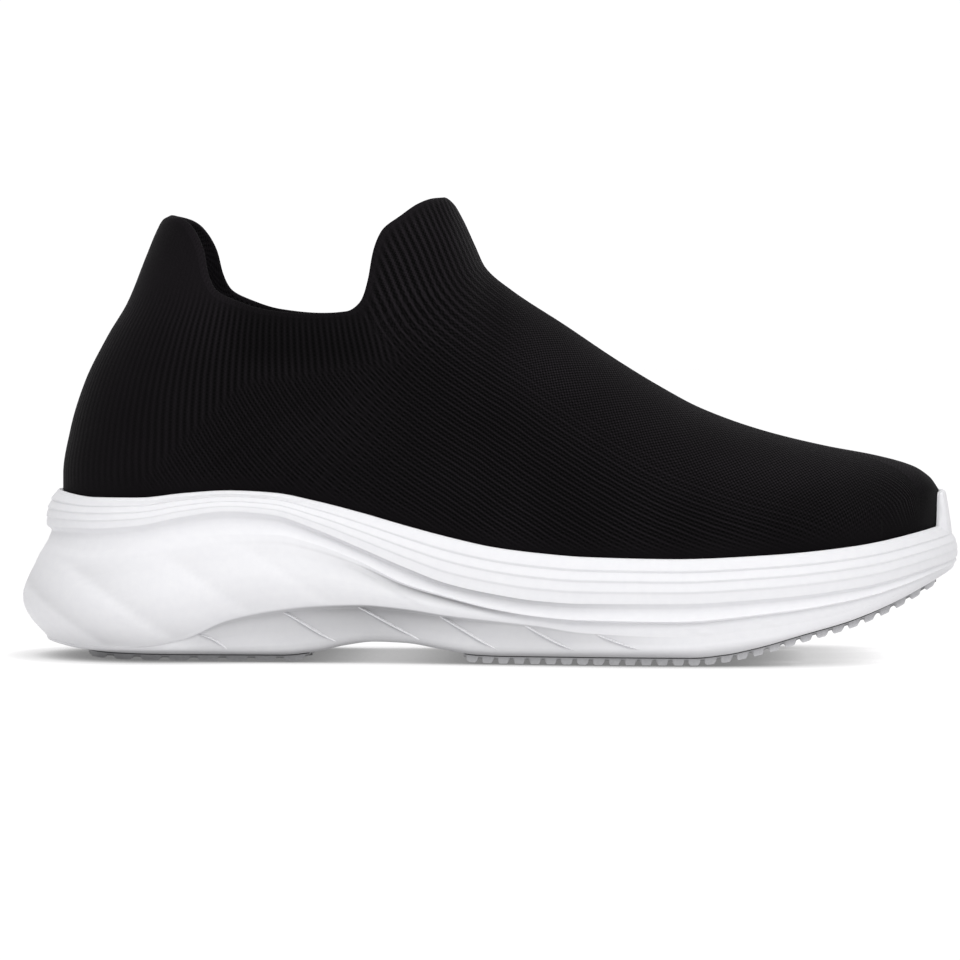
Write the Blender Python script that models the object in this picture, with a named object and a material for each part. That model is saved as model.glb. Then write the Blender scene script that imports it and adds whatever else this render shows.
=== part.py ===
"""Slip-on sneaker for the right foot, empty and standing on its sole.

The toe points along +X, the outer side of the foot is -Y and the floor is z = 0. Sizes are in
millimetres and become metres when each mesh is made.
"""

import math

import bpy
import numpy as np

# Scale of the numbers below.
MM = 0.001

# Overall sizes of the shoe.
LAST_LENGTH = 262.0
HEEL_OVERHANG = 12.3
TOE_OVERHANG = 5.7
SHOE_LENGTH = LAST_LENGTH + HEEL_OVERHANG + TOE_OVERHANG
BALL_WIDTH = 89.0
TONGUE_TOP = 136.5
HEEL_RIM = 49.7
BACK = HEEL_OVERHANG - SHOE_LENGTH / 2

# Knit wall, fits between pieces and footbed.
KNIT_WALL = 2.2
FIT = 0.3
COLLAR_ROLL = 0.9
INSOLE_THICKNESS = 4.0
INSOLE_CUPPING = 2.0
INSOLE_EDGE_IN = 1.2
INSOLE_EDGE_DROP = 1.0
TREAD_INSET = 0.6
RIM_INNER_DROP = 0.3
RIM_OUTER_DROP = 0.9
LEAST_CREST = 0.01

# Rounding of the last in plan at its two ends, as shares of its length, with the power of each curve.
HEEL_ROUND = 0.125
HEEL_POWER = 2.1
TOE_ROUND = 0.24
TOE_POWER = 2.15

# Bands pressed into the side of the midsole, as shares of the height from rim to hollow.
BAND_STEPS = (0.26, 0.49, 0.73)
STEP_DROP = 0.05
BODY_ROWS = (0.14, 0.30, 0.46, 0.62, 0.78, 0.91)
BODY_SKEW = 1.18

# Toe bumper that stands above the rim.
BUMPER_RISE = 10.0
BUMPER_HALF = 10.5
BUMPER_FADE = 2.0
TOE_WALL_TOP = 49.3

# Resolution of the solids.
SIDE_STEPS = 36
UPPER_ROWS = 16
ACROSS = 3
TOE_CROWDING = 0.10

# Plan of the last: distance of the outer and the inner side from its centre line, and that line's
# own shift towards the inner side, all as shares of the ball width.
PLAN_NAMES = ("along", "outer", "inner", "centre")
PLAN = (
    (0.00, 0.350, 0.345, 0.000),
    (0.12, 0.360, 0.335, 0.000),
    (0.25, 0.375, 0.317, 0.010),
    (0.35, 0.404, 0.295, 0.016),
    (0.45, 0.450, 0.300, 0.022),
    (0.55, 0.505, 0.338, 0.034),
    (0.65, 0.550, 0.398, 0.046),
    (0.74, 0.568, 0.430, 0.058),
    (0.85, 0.565, 0.432, 0.072),
    (1.00, 0.545, 0.378, 0.095),
)

# Heights of the lines that run round the midsole, as shares of the heel rim: the rim, the foot of
# the bands, the lip under the hollow, the top of the arch recess and the lowest edge.
LEVEL_NAMES = ("along", "rim", "bands", "lip", "recess", "edge")
LEVELS = (
    (0.00, 0.996, 0.778, 0.688, 0.114, 0.092),
    (0.05, 0.962, 0.780, 0.648, 0.080, 0.060),
    (0.10, 0.964, 0.800, 0.676, 0.084, 0.060),
    (0.15, 0.992, 0.856, 0.720, 0.134, 0.062),
    (0.20, 1.008, 0.888, 0.750, 0.248, 0.064),
    (0.25, 0.996, 0.868, 0.752, 0.306, 0.068),
    (0.30, 0.946, 0.784, 0.696, 0.336, 0.090),
    (0.35, 0.880, 0.676, 0.596, 0.344, 0.136),
    (0.40, 0.806, 0.566, 0.470, 0.322, 0.136),
    (0.45, 0.738, 0.468, 0.392, 0.284, 0.102),
    (0.50, 0.682, 0.412, 0.326, 0.256, 0.080),
    (0.55, 0.650, 0.374, 0.284, 0.228, 0.078),
    (0.60, 0.630, 0.360, 0.264, 0.190, 0.082),
    (0.70, 0.620, 0.362, 0.258, 0.170, 0.092),
    (0.80, 0.642, 0.392, 0.306, 0.222, 0.152),
    (0.90, 0.690, 0.456, 0.394, 0.330, 0.286),
    (1.00, 0.790, 0.596, 0.568, 0.544, 0.524),
)

# How far each of those lines stands out from the plan of the last, in units of REACH_UNIT. `bulge` is
# the swelling between lip and recess, `recess` the depth of the recess, `step` the depth of a band.
REACH_UNIT = 1.0
REACH_NAMES = (
    "along", "rim", "bands", "hollow", "lip", "tuck", "bulge", "skirt", "recess", "edge", "base", "step",
)
REACH = (
    (0.00, 2.0, 4.9, 3.5, 4.6, 6.6, 6.7, 5.0, 0.0, 3.6, -7.5, 0.50),
    (0.06, 2.0, 4.9, 3.3, 4.6, 6.4, 6.2, 5.0, 0.0, 3.8, -3.0, 0.50),
    (0.15, 2.0, 4.6, 2.9, 4.6, 5.8, 5.2, 5.2, 0.8, 4.0, 0.6, 0.30),
    (0.25, 2.0, 4.2, 2.3, 4.6, 5.1, 3.8, 5.0, 3.0, 3.6, 1.2, 0.25),
    (0.35, 1.9, 3.9, 2.1, 4.4, 4.0, 2.4, 4.6, 3.4, 2.8, 1.2, 0.35),
    (0.45, 1.8, 3.8, 2.2, 4.8, 3.2, 1.2, 3.8, 2.6, 2.8, 1.4, 0.60),
    (0.55, 1.8, 4.2, 2.8, 5.4, 2.9, 0.2, 2.8, 0.4, 3.2, 2.0, 0.70),
    (0.70, 1.8, 4.6, 3.4, 5.7, 4.0, 0.2, 4.3, 0.0, 4.4, 2.8, 0.70),
    (0.85, 1.8, 4.7, 3.7, 5.7, 4.6, 0.2, 4.6, 0.0, 4.4, 2.8, 0.60),
    (0.95, 1.9, 5.2, 4.6, 5.6, 5.0, 0.1, 4.8, 0.0, 4.2, 2.2, 0.40),
    (1.00, 2.2, 5.6, 5.2, 5.4, 5.1, 0.0, 4.7, 0.0, 3.9, 1.5, 0.15),
)

# Underside of the midsole and surface of the footbed, as shares of the heel rim.
FLOOR_NAMES = ("along", "under")
FLOORS = (
    (0.000, 0.038),
    (0.260, 0.038),
    (0.300, 0.060),
    (0.330, 0.096),
    (0.365, 0.120),
    (0.400, 0.114),
    (0.440, 0.080),
    (0.480, 0.050),
    (0.510, 0.046),
    (0.720, 0.046),
    (0.755, 0.064),
    (0.790, 0.102),
    (0.845, 0.182),
    (0.893, 0.250),
    (0.938, 0.338),
    (0.972, 0.424),
    (1.000, 0.500),
)
HEEL_TREAD = HEEL_RIM * FLOORS[0][1] - FIT
FORE_TREAD = HEEL_RIM * FLOORS[8][1] - FIT

FOOTBED_NAMES = ("along", "bed")
FOOTBED = (
    (0.00, 0.760),
    (0.18, 0.735),
    (0.30, 0.680),
    (0.40, 0.560),
    (0.50, 0.440),
    (0.60, 0.370),
    (0.72, 0.350),
    (0.84, 0.390),
    (0.94, 0.480),
    (1.00, 0.560),
)

# Side view of the upper. Lengths are shares of the last and heights shares of the tongue's top.
HEEL_LINE_NAMES = ("height", "along")
HEEL_LINE = (
    (0.000, 0.0000),
    (0.393, 0.0000),
    (0.495, 0.0087),
    (0.596, 0.0250),
    (0.698, 0.0515),
    (0.771, 0.0742),
    (0.873, 0.0958),
    (0.931, 0.1085),
    (0.952, 0.1150),
    (0.961, 0.1235),
)
RIDGE_NAMES = ("along", "height")
RIDGE = (
    (0.000, 1.140),
    (0.200, 1.136),
    (0.300, 1.122),
    (0.350, 1.086),
    (0.390, 1.040),
    (0.415, 1.010),
    (0.427, 1.003),
    (0.437, 1.000),
    (0.446, 0.987),
    (0.457, 0.952),
    (0.470, 0.898),
    (0.483, 0.846),
    (0.510, 0.801),
    (0.575, 0.719),
    (0.630, 0.648),
    (0.680, 0.589),
    (0.730, 0.538),
    (0.800, 0.490),
    (0.870, 0.457),
    (0.930, 0.435),
    (0.970, 0.413),
    (0.990, 0.388),
    (1.000, 0.361),
)
COLLAR_NAMES = ("along", "height")
COLLAR = (
    (0.1235, 0.961),
    (0.1360, 0.954),
    (0.1490, 0.935),
    (0.1640, 0.885),
    (0.1715, 0.830),
    (0.1820, 0.794),
    (0.2050, 0.771),
    (0.2450, 0.750),
    (0.2900, 0.743),
    (0.3350, 0.749),
    (0.3510, 0.772),
    (0.3585, 0.816),
    (0.3645, 0.881),
    (0.3740, 0.926),
    (0.3950, 0.960),
    (0.4150, 0.989),
    (0.4270, 0.998),
    (0.4370, 1.000),
)
SECTION_NAMES = ("along", "power", "swell")
SECTIONS = (
    (0.00, 2.5, 0.00),
    (0.25, 2.5, 0.01),
    (0.45, 2.2, 0.00),
    (0.60, 1.9, 0.00),
    (0.75, 2.0, 0.02),
    (0.90, 2.2, 0.02),
    (1.00, 2.2, 0.00),
)

# Slanting ribs in the arch recess: where each starts under the recess edge, and how far it runs on.
RIB_STARTS = (0.165, 0.260, 0.344, 0.437, 0.535, 0.615)
RIB_RUNS = (0.034, 0.062, 0.072, 0.066, 0.056, 0.048)
RIB_PROUD = 0.8
RIB_SUNK = 0.8
RIB_HALF = 0.75
RIB_STEPS = 4

# Tread of the two rubber plates.
HEEL_PLATE = (0.030, 0.290)
HEEL_PITCH = 9.0
FORE_PLATE = (0.465, 0.996)
FORE_PITCH = 4.7
LUG_DEPTH = 1.3
HEEL_LUG_DEPTH = 0.9
LUG_REACH = 0.15
MOAT = 0.06
MOAT_SLOPE = 0.02

# Colours as linear light, and the roughness of each material.
KNIT_BLACK = (0.0075, 0.0062, 0.0075, 1.0)
FOAM_WHITE = (0.86, 0.86, 0.88, 1.0)
RUBBER_PALE = (0.62, 0.62, 0.64, 1.0)
FOOTBED_BLACK = (0.012, 0.011, 0.013, 1.0)
KNIT_ROUGH = 0.92
FOAM_ROUGH = 0.55
RUBBER_ROUGH = 0.60
FOOTBED_ROUGH = 0.90


def column(names, rows, name):
    """One named column of a table."""
    return np.array([row[names.index(name)] for row in rows])


def curve(knots, values):
    """A smooth line through the points that never swings past them."""
    gaps = np.diff(knots)
    slopes = np.diff(values) / gaps
    lean = np.zeros(len(knots))
    before, after = slopes[:-1], slopes[1:]
    same = before * after > 0
    total = np.where(same, before + after, 1.0)
    lean[1:-1] = np.where(same, 2 * before * after / total, 0.0)
    lean[0], lean[-1] = slopes[0], slopes[-1]

    def at(place):
        place = np.clip(place, knots[0], knots[-1])
        k = np.clip(np.searchsorted(knots, place) - 1, 0, len(gaps) - 1)
        u = (place - knots[k]) / gaps[k]
        rise = values[k + 1] - values[k]
        start = gaps[k] * lean[k]
        end = gaps[k] * lean[k + 1]
        return values[k] + u * (start + u * (3 * rise - 2 * start - end + u * (start + end - 2 * rise)))

    return at


def lines(names, rows, scale=1.0):
    """Every column of a table as a curve along its first column."""
    knots = column(names, rows, names[0])
    return {name: curve(knots, scale * column(names, rows, name)) for name in names[1:]}


plan = lines(PLAN_NAMES, PLAN, BALL_WIDTH)
level = lines(LEVEL_NAMES, LEVELS, HEEL_RIM)
reach = lines(REACH_NAMES, REACH, REACH_UNIT)
under = lines(FLOOR_NAMES, FLOORS, HEEL_RIM)["under"]
bed = lines(FOOTBED_NAMES, FOOTBED, HEEL_RIM)["bed"]
section = lines(SECTION_NAMES, SECTIONS)
heel_line = curve(
    TONGUE_TOP * column(HEEL_LINE_NAMES, HEEL_LINE, "height"),
    column(HEEL_LINE_NAMES, HEEL_LINE, "along"),
)
ridge = lines(RIDGE_NAMES, RIDGE, TONGUE_TOP)["height"]


def closing(share, power):
    """1 along the middle of the last, falling to 0 in a round end."""
    return (1 - (1 - np.clip(share, 0, 1)) ** power) ** (1 / power)


def smooth(share):
    """An S from 0 to 1."""
    share = np.clip(share, 0, 1)
    return share * share * (3 - 2 * share)


def side_of(along, side, back=0.0):
    """Y of the last's side: `side` is -1 outside and 1 inside, `back` is where the heel starts."""
    half = np.where(side < 0, plan["outer"](along), plan["inner"](along))
    ends = closing((along - back) / HEEL_ROUND, HEEL_POWER) * closing((1 - along) / TOE_ROUND, TOE_POWER)
    return half * ends


def station(steps):
    """Places along the last from heel to toe, closer at its round ends and closest at the toe."""
    share = np.arange(steps + 1) / steps
    share = share + TOE_CROWDING * share * np.sin(math.pi * share)
    return (1 - np.cos(math.pi * share)) / 2


def perimeter(steps):
    """Places along the last and their side, once round from the heel by the outer side."""
    turn = station(steps)
    along = np.concatenate([turn, turn[-2:0:-1]])
    side = np.concatenate([-np.ones(steps + 1), np.ones(steps - 1)])
    return along, side


def plan_point(along, side):
    """The plan of the last as points and outward directions."""
    x = BACK + LAST_LENGTH * along
    y = plan["centre"](along) + side * side_of(along, side)
    return np.stack([x, y], axis=-1)


def outward(points):
    """Directions that point out of a closed loop of plan points."""
    run = np.roll(points, -1, axis=0) - np.roll(points, 1, axis=0)
    out = np.stack([run[:, 1], -run[:, 0]], axis=-1)
    return out / np.linalg.norm(out, axis=1, keepdims=True)


def loop_of(offset, height, steps=SIDE_STEPS):
    """A loop round the last at an offset from it, with its heights."""
    along, side = perimeter(steps)
    points = plan_point(along, side)
    out = outward(points)
    flat = points + out * np.broadcast_to(offset, along.shape)[:, None]
    return np.column_stack([flat, np.broadcast_to(height, along.shape)])


class Skin:
    """Vertices and faces of one closed mesh."""

    def __init__(self):
        self.points = []
        self.faces = []

    def add(self, points):
        first = len(self.points)
        self.points.extend(tuple(float(v) for v in p) for p in points)
        return list(range(first, len(self.points)))

    def band(self, upper, lower):
        """Faces between two loops, facing out when the second is the lower."""
        n = len(upper)
        for i in range(n):
            j = (i + 1) % n
            self.faces.append((lower[i], lower[j], upper[j], upper[i]))

    def infill(self, loop, height, facing, bow=0.0):
        """Rungs across a loop from its outer to its inner side, closing it as a floor."""
        steps = len(loop) // 2
        rungs = []
        for k in range(1, steps):
            a = np.array(self.points[loop[k]])
            b = np.array(self.points[loop[-k]])
            inner = []
            for j in range(1, ACROSS):
                p = a + (b - a) * j / ACROSS
                p[2] = height(p[0]) - bow * (1 - (2 * j / ACROSS - 1) ** 2)
                inner.append(p)
            rungs.append([loop[k], *self.add(inner), loop[-k]])
        faces = []
        for j in range(ACROSS):
            faces.append((loop[0], rungs[0][j], rungs[0][j + 1]))
            faces.append((loop[steps], rungs[-1][j + 1], rungs[-1][j]))
        for here, there in zip(rungs, rungs[1:]):
            for j in range(ACROSS):
                faces.append((here[j], there[j], there[j + 1], here[j + 1]))
        self.faces.extend(faces if facing > 0 else [face[::-1] for face in faces])


def place(skin, name, material, collection):
    """An object in metres from a skin."""
    mesh = bpy.data.meshes.new(name)
    mesh.from_pydata([[v * MM for v in p] for p in skin.points], [], skin.faces)
    mesh.update()
    mesh.materials.append(material)
    made = bpy.data.objects.new(name, mesh)
    collection.objects.link(made)
    return made


def material_of(name, colour, rough):
    made = bpy.data.materials.new(name)
    made.use_nodes = True
    shader = made.node_tree.nodes["Principled BSDF"]
    shader.inputs["Base Color"].default_value = colour
    shader.inputs["Roughness"].default_value = rough
    shader.inputs["Metallic"].default_value = 0.0
    made.diffuse_color = colour
    return made


def along_of(x):
    return (x - BACK) / LAST_LENGTH


# Upper.
def wall_foot(along):
    """Height up to which the upper's wall stands straight."""
    rim = level["rim"](along) + FIT
    toe = smooth((along - 0.955) / 0.045)
    return rim + (TOE_WALL_TOP - rim) * toe


def upper_side(along, height, side):
    """Y of the upper's outer face at a place in its side view."""
    foot = wall_foot(along)
    top = np.maximum(ridge(along), foot + LEAST_CREST)
    rise = np.clip((height - foot) / (top - foot), 0, 1)
    power = section["power"](along)
    closed = (1 - rise**power) ** (1 / power)
    swell = 1 + section["swell"](along) * np.sin(math.pi * rise)
    back = heel_line(height)
    return plan["centre"](along) + side * side_of(along, side, back) * closed * swell


def even(points, shares):
    """Points at shares of the length of a polyline."""
    gaps = np.linalg.norm(np.diff(points, axis=0) * [LAST_LENGTH, 1.0], axis=1)
    reached = np.concatenate([[0], np.cumsum(gaps)]) / gaps.sum()
    return np.column_stack([np.interp(shares, reached, points[:, c]) for c in (0, 1)])


def collar_edge(shares):
    """The collar in side view from heel tab to tongue top, at shares of its length."""
    places = column(COLLAR_NAMES, COLLAR, "along")
    heights = TONGUE_TOP * column(COLLAR_NAMES, COLLAR, "height")
    gaps = np.hypot(np.diff(places) * LAST_LENGTH, np.diff(heights))
    reached = np.concatenate([[0], np.cumsum(gaps)]) / gaps.sum()
    fine = np.linspace(0, 1, 400)
    smoothed = np.column_stack([curve(reached, places)(fine), curve(reached, heights)(fine)])
    return even(smoothed, shares)


def upper_view(steps, rows):
    """The upper in side view: a net of (along, height) between rim, heel line, ridge and collar."""
    u = station(steps)
    foot = np.column_stack([u, level["rim"](u) + FIT])
    top = collar_edge(u)
    lead = np.linspace(1, COLLAR[-1][0], 600)
    front = np.column_stack([lead, ridge(lead)])
    gaps = np.linalg.norm(np.diff(front, axis=0) * [LAST_LENGTH, 1.0], axis=1)
    wall = front[0, 1] - foot[-1, 1]
    corner = wall / (wall + gaps.sum())
    rise = np.linspace(0, 1, rows - 1)
    rise = (rise + (1 - np.cos(math.pi * rise)) / 2) / 2
    v = np.concatenate([[0], corner + (1 - corner) * rise])
    front = even(np.vstack([foot[-1], front]), v)
    heights = np.linspace(foot[0, 1], top[0, 1], 200)
    heel = even(np.column_stack([heel_line(heights), heights]), v)
    net = np.zeros((rows, steps + 1, 2))
    for r in range(rows):
        straight = (1 - v[r]) * foot + v[r] * top
        across = np.outer(1 - u, heel[r]) + np.outer(u, front[r])
        low = np.outer(1 - u, foot[0]) + np.outer(u, foot[-1])
        high = np.outer(1 - u, top[0]) + np.outer(u, top[-1])
        net[r] = straight + across - (1 - v[r]) * low - v[r] * high
    return net


def upper_loops(steps, rows):
    """Loops of the upper's outer face from collar to rim."""
    net = upper_view(steps, rows)
    loops = []
    for row in net[::-1]:
        both = np.concatenate([row, row[-2:0:-1]])
        _, side = perimeter(steps)
        y = upper_side(both[:, 0], both[:, 1], side)
        loops.append(np.column_stack([BACK + LAST_LENGTH * both[:, 0], y, both[:, 1]]))
    return loops


def inward(loops):
    """The same loops moved in by the knit wall, square to the surface."""
    grid = np.array(loops)
    down = np.gradient(grid, axis=0)
    run = np.roll(grid, -1, axis=1) - np.roll(grid, 1, axis=1)
    out = np.cross(down, run)
    out /= np.linalg.norm(out, axis=2, keepdims=True)
    return grid - out * KNIT_WALL, out


def make_upper():
    skin = Skin()
    loops = upper_loops(SIDE_STEPS, UPPER_ROWS)
    along, _ = perimeter(SIDE_STEPS)
    loops.append(loop_of(0.0, bed(along) + FIT))
    inner, out = inward(loops)
    inner[-1] = loop_of(-KNIT_WALL, bed(along) + FIT)
    inner[-2, :, :2] = loop_of(-KNIT_WALL, 0.0)[:, :2]
    lift = loops[0] - loops[1]
    lift /= np.linalg.norm(lift, axis=1, keepdims=True)
    roll = (loops[0] + inner[0]) / 2 + lift * COLLAR_ROLL
    rings = [skin.add(roll)] + [skin.add(loop) for loop in loops] + [skin.add(loop) for loop in inner[::-1]]
    for above, below in zip(rings, rings[1:] + rings[:1]):
        skin.band(above, below)
    return skin


# Midsole.
def bumper(points):
    """1 round the toe tip where the bumper stands, 0 elsewhere."""
    tip = plan["centre"](1.0)
    off = np.abs(points[:, 1] - tip)
    front = points[:, 0] > BACK + LAST_LENGTH * 0.9
    return np.where(front, 1 - smooth((off - BUMPER_HALF) / BUMPER_FADE), 0.0)


def midsole_rows(steps=SIDE_STEPS):
    """(offset, height) of each loop round the midsole, from the cup to the underside."""
    along, side = perimeter(steps)
    rim = level["rim"](along) + BUMPER_RISE * bumper(plan_point(along, side))
    low_rim = level["rim"](along)
    bands, lip = level["bands"](along), level["lip"](along)
    recess, edge = level["recess"](along), level["edge"](along)
    out = {name: line(along) for name, line in reach.items()}
    rows = [
        (FIT, bed(along)),
        (FIT, rim - RIM_INNER_DROP),
        (0.55 * out["rim"], rim),
        (out["rim"], rim - RIM_OUTER_DROP),
    ]
    for share in BAND_STEPS:
        swing = math.sin(math.pi / 2 * min(share / 0.75, 1))
        face = out["rim"] + (out["bands"] - out["rim"]) * swing
        depth = low_rim - bands
        rows.append((face + out["step"] / 2, low_rim - share * depth))
        rows.append((face - out["step"] / 2, low_rim - (share + STEP_DROP) * depth))
    rows.append((out["bands"], bands))
    rows.append((out["hollow"], bands - 0.30 * (bands - lip)))
    rows.append(((out["hollow"] + out["lip"]) / 2, bands - 0.70 * (bands - lip)))
    rows.append((out["lip"], lip))
    tuck = lip - 0.12 * (lip - recess)
    rows.append((out["tuck"], tuck))
    for share in BODY_ROWS:
        swell = out["bulge"] * math.sin(math.pi * share**BODY_SKEW)
        reached = out["tuck"] + (out["skirt"] - out["tuck"]) * share + swell
        rows.append((reached, tuck + (recess - tuck) * share))
    rows.append((out["skirt"], recess))
    below = recess - 0.12 * (recess - edge)
    rows.append((out["skirt"] - out["recess"], below))
    deep = out["skirt"] - out["recess"]
    rows.append((deep + 0.25 * (out["edge"] - deep), (below + edge) / 2))
    rows.append((out["edge"], edge))
    return rows


def base_loop(steps=SIDE_STEPS):
    """The edge of the underside."""
    along, _ = perimeter(steps)
    loop = loop_of(reach["base"](along), 0.0, steps)
    loop[:, 2] = under(along_of(loop[:, 0]))
    return loop


def make_midsole():
    skin = Skin()
    loops = [loop_of(offset, height) for offset, height in midsole_rows()] + [base_loop()]
    rings = [skin.add(loop) for loop in loops]
    for above, below in zip(rings, rings[1:]):
        skin.band(above, below)
    skin.infill(rings[0], lambda x: bed(along_of(x)), 1)
    skin.infill(rings[-1], lambda x: under(along_of(x)), -1)
    return skin


def rib_points(start, run, side):
    """Cross-sections of one slanting rib, from under the recess edge down to the lowest edge."""
    sections = []
    for k in range(RIB_STEPS + 1):
        share = k / RIB_STEPS
        along = start + run * share
        ends = (-RIB_HALF, 0.0, RIB_HALF)
        here = np.array([plan_point(np.array(along + end / LAST_LENGTH), side) for end in ends])
        lead = here[2] - here[0]
        out = np.array([lead[1], -lead[0]]) * -side
        out /= np.linalg.norm(out)
        top = level["recess"](along)
        foot = level["edge"](along)
        deep = reach["skirt"](along) - reach["recess"](along)
        face = deep + (reach["edge"](along) - deep) * (0.5 * share + 0.5 * share**3)
        height = top - (top - foot) * (0.10 + 0.86 * share)
        sections.append(
            [
                (*(here[0] + out * (face - RIB_SUNK)), height),
                (*(here[1] + out * (face + RIB_PROUD)), height),
                (*(here[2] + out * (face - RIB_SUNK)), height),
            ]
        )
    return sections


def make_ribs():
    skin = Skin()
    for side in (-1, 1):
        for start, run in zip(RIB_STARTS, RIB_RUNS):
            rings = [skin.add(points) for points in rib_points(start, run, side)]
            for here, there in zip(rings, rings[1:]):
                for i in range(3):
                    j = (i + 1) % 3
                    face = (here[i], here[j], there[j], there[i])
                    skin.faces.append(face if side > 0 else face[::-1])
            skin.faces.append(tuple(rings[0][::-side]))
            skin.faces.append(tuple(rings[-1][::side]))
    return skin


# Rubber plates.
def make_plate(span, pitch, thick, depth):
    """A rubber plate under the midsole with lugs along both edges and a flat pad between them."""
    loop = base_loop()
    outer = loop[: SIDE_STEPS + 1]
    inner = np.concatenate([loop[SIDE_STEPS:], loop[:1]])[::-1]
    first, last = (BACK + LAST_LENGTH * share for share in span)
    lugs = round((last - first) / pitch)
    stations = np.linspace(first, last, 2 * lugs + 1)
    moat_end = LUG_REACH + MOAT_SLOPE + MOAT
    shares = np.array([0, LUG_REACH, LUG_REACH + MOAT_SLOPE, moat_end, moat_end + MOAT_SLOPE])
    shares = np.concatenate([shares, 1 - shares[::-1]])
    kind = ("lug", "lug", "moat", "moat", "pad", "pad", "moat", "moat", "lug", "lug")
    rungs = np.sort(loop[:, 0])
    skin = Skin()
    tops, lows = [], []
    for k, x in enumerate(stations):
        left = np.interp(x, outer[:, 0], outer[:, 1]) + TREAD_INSET
        right = np.interp(x, inner[:, 0], inner[:, 1]) - TREAD_INSET
        top = np.interp(x, rungs, under(along_of(rungs))) - FIT
        sole = under(along_of(x)) - FIT - thick
        cut = {"pad": 0.0, "moat": depth, "lug": 0.0 if k % 2 else depth}
        tops.append(skin.add([(x, left, top), (x, right, top)]))
        low = [(x, left + (right - left) * s, sole + cut[what]) for s, what in zip(shares, kind)]
        lows.append(skin.add(low))
    wide = len(shares) - 1
    for k in range(len(stations) - 1):
        a, b, c, d = tops[k], tops[k + 1], lows[k], lows[k + 1]
        skin.faces.append((a[0], b[0], b[1], a[1]))
        skin.faces.append((c[0], d[0], b[0], a[0]))
        skin.faces.append((d[wide], c[wide], a[1], b[1]))
        for j in range(wide):
            skin.faces.append((c[j], c[j + 1], d[j + 1], d[j]))
    skin.faces.append((tops[0][0], tops[0][1], *lows[0][::-1]))
    skin.faces.append((tops[-1][1], tops[-1][0], *lows[-1]))
    return skin


def make_insole():
    skin = Skin()
    along, _ = perimeter(SIDE_STEPS)
    inset = -(KNIT_WALL + FIT)
    low = bed(along) + FIT
    thick = INSOLE_THICKNESS + INSOLE_CUPPING
    high = low + thick
    rings = [
        skin.add(loop_of(inset - INSOLE_EDGE_IN, high)),
        skin.add(loop_of(inset, high - INSOLE_EDGE_DROP)),
        skin.add(loop_of(inset, low)),
    ]
    for above, below in zip(rings, rings[1:]):
        skin.band(above, below)
    skin.infill(rings[0], lambda x: bed(along_of(x)) + FIT + thick, 1, INSOLE_CUPPING)
    skin.infill(rings[-1], lambda x: bed(along_of(x)) + FIT, -1)
    return skin


def collection_of(name):
    made = bpy.data.collections.new(name)
    bpy.context.scene.collection.children.link(made)
    return made


def main():
    for found in list(bpy.data.objects):
        bpy.data.objects.remove(found, do_unlink=True)
    sneaker = collection_of("slip_on_sneaker")
    helpers = collection_of("slip_on_sneaker_helpers")
    helpers.hide_render = True

    knit = material_of("knit_black", KNIT_BLACK, KNIT_ROUGH)
    foam = material_of("foam_white", FOAM_WHITE, FOAM_ROUGH)
    heel_rubber = material_of("rubber_heel", RUBBER_PALE, RUBBER_ROUGH)
    fore_rubber = material_of("rubber_forefoot", RUBBER_PALE, RUBBER_ROUGH)
    footbed = material_of("footbed_black", FOOTBED_BLACK, FOOTBED_ROUGH)

    place(make_upper(), "upper", knit, sneaker)
    midsole = place(make_midsole(), "midsole", foam, sneaker)
    ribs = place(make_ribs(), "midsole_ribs", foam, helpers)
    ribs.hide_render = True
    ribs.display_type = "WIRE"
    joined = midsole.modifiers.new("ribs", "BOOLEAN")
    joined.operation = "UNION"
    joined.solver = "EXACT"
    joined.object = ribs
    heel_plate = make_plate(HEEL_PLATE, HEEL_PITCH, HEEL_TREAD, HEEL_LUG_DEPTH)
    fore_plate = make_plate(FORE_PLATE, FORE_PITCH, FORE_TREAD, LUG_DEPTH)
    place(heel_plate, "outsole_heel", heel_rubber, sneaker)
    place(fore_plate, "outsole_forefoot", fore_rubber, sneaker)
    place(make_insole(), "insole", footbed, sneaker)


main()
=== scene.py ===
"""Looks of a slip-on sneaker for the right foot: black knit upper, white foam midsole, pale tread."""

import math

import bpy
import numpy as np
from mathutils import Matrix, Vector


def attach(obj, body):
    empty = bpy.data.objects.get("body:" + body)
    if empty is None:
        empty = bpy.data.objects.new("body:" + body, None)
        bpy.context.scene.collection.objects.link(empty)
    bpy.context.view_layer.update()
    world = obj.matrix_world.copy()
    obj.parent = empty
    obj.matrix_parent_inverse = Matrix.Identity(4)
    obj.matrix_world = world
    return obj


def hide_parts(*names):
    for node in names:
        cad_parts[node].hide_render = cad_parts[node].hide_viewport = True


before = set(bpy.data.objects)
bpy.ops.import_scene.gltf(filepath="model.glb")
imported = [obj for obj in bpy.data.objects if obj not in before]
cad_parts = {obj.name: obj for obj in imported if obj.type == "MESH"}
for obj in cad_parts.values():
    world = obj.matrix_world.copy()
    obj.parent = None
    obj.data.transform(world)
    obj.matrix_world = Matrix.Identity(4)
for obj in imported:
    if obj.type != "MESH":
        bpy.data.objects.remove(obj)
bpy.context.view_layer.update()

# One millimetre in metres. Lengths below are in millimetres.
MM = 0.001

# Overall sizes of the shoe.
LAST_LENGTH = 262.0
HEEL_OVERHANG = 12.3
TOE_OVERHANG = 5.7
SHOE_LENGTH = LAST_LENGTH + HEEL_OVERHANG + TOE_OVERHANG
BALL_WIDTH = 89.0
TONGUE_TOP = 136.5
HEEL_RIM = 49.7
BACK = HEEL_OVERHANG - SHOE_LENGTH / 2

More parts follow.
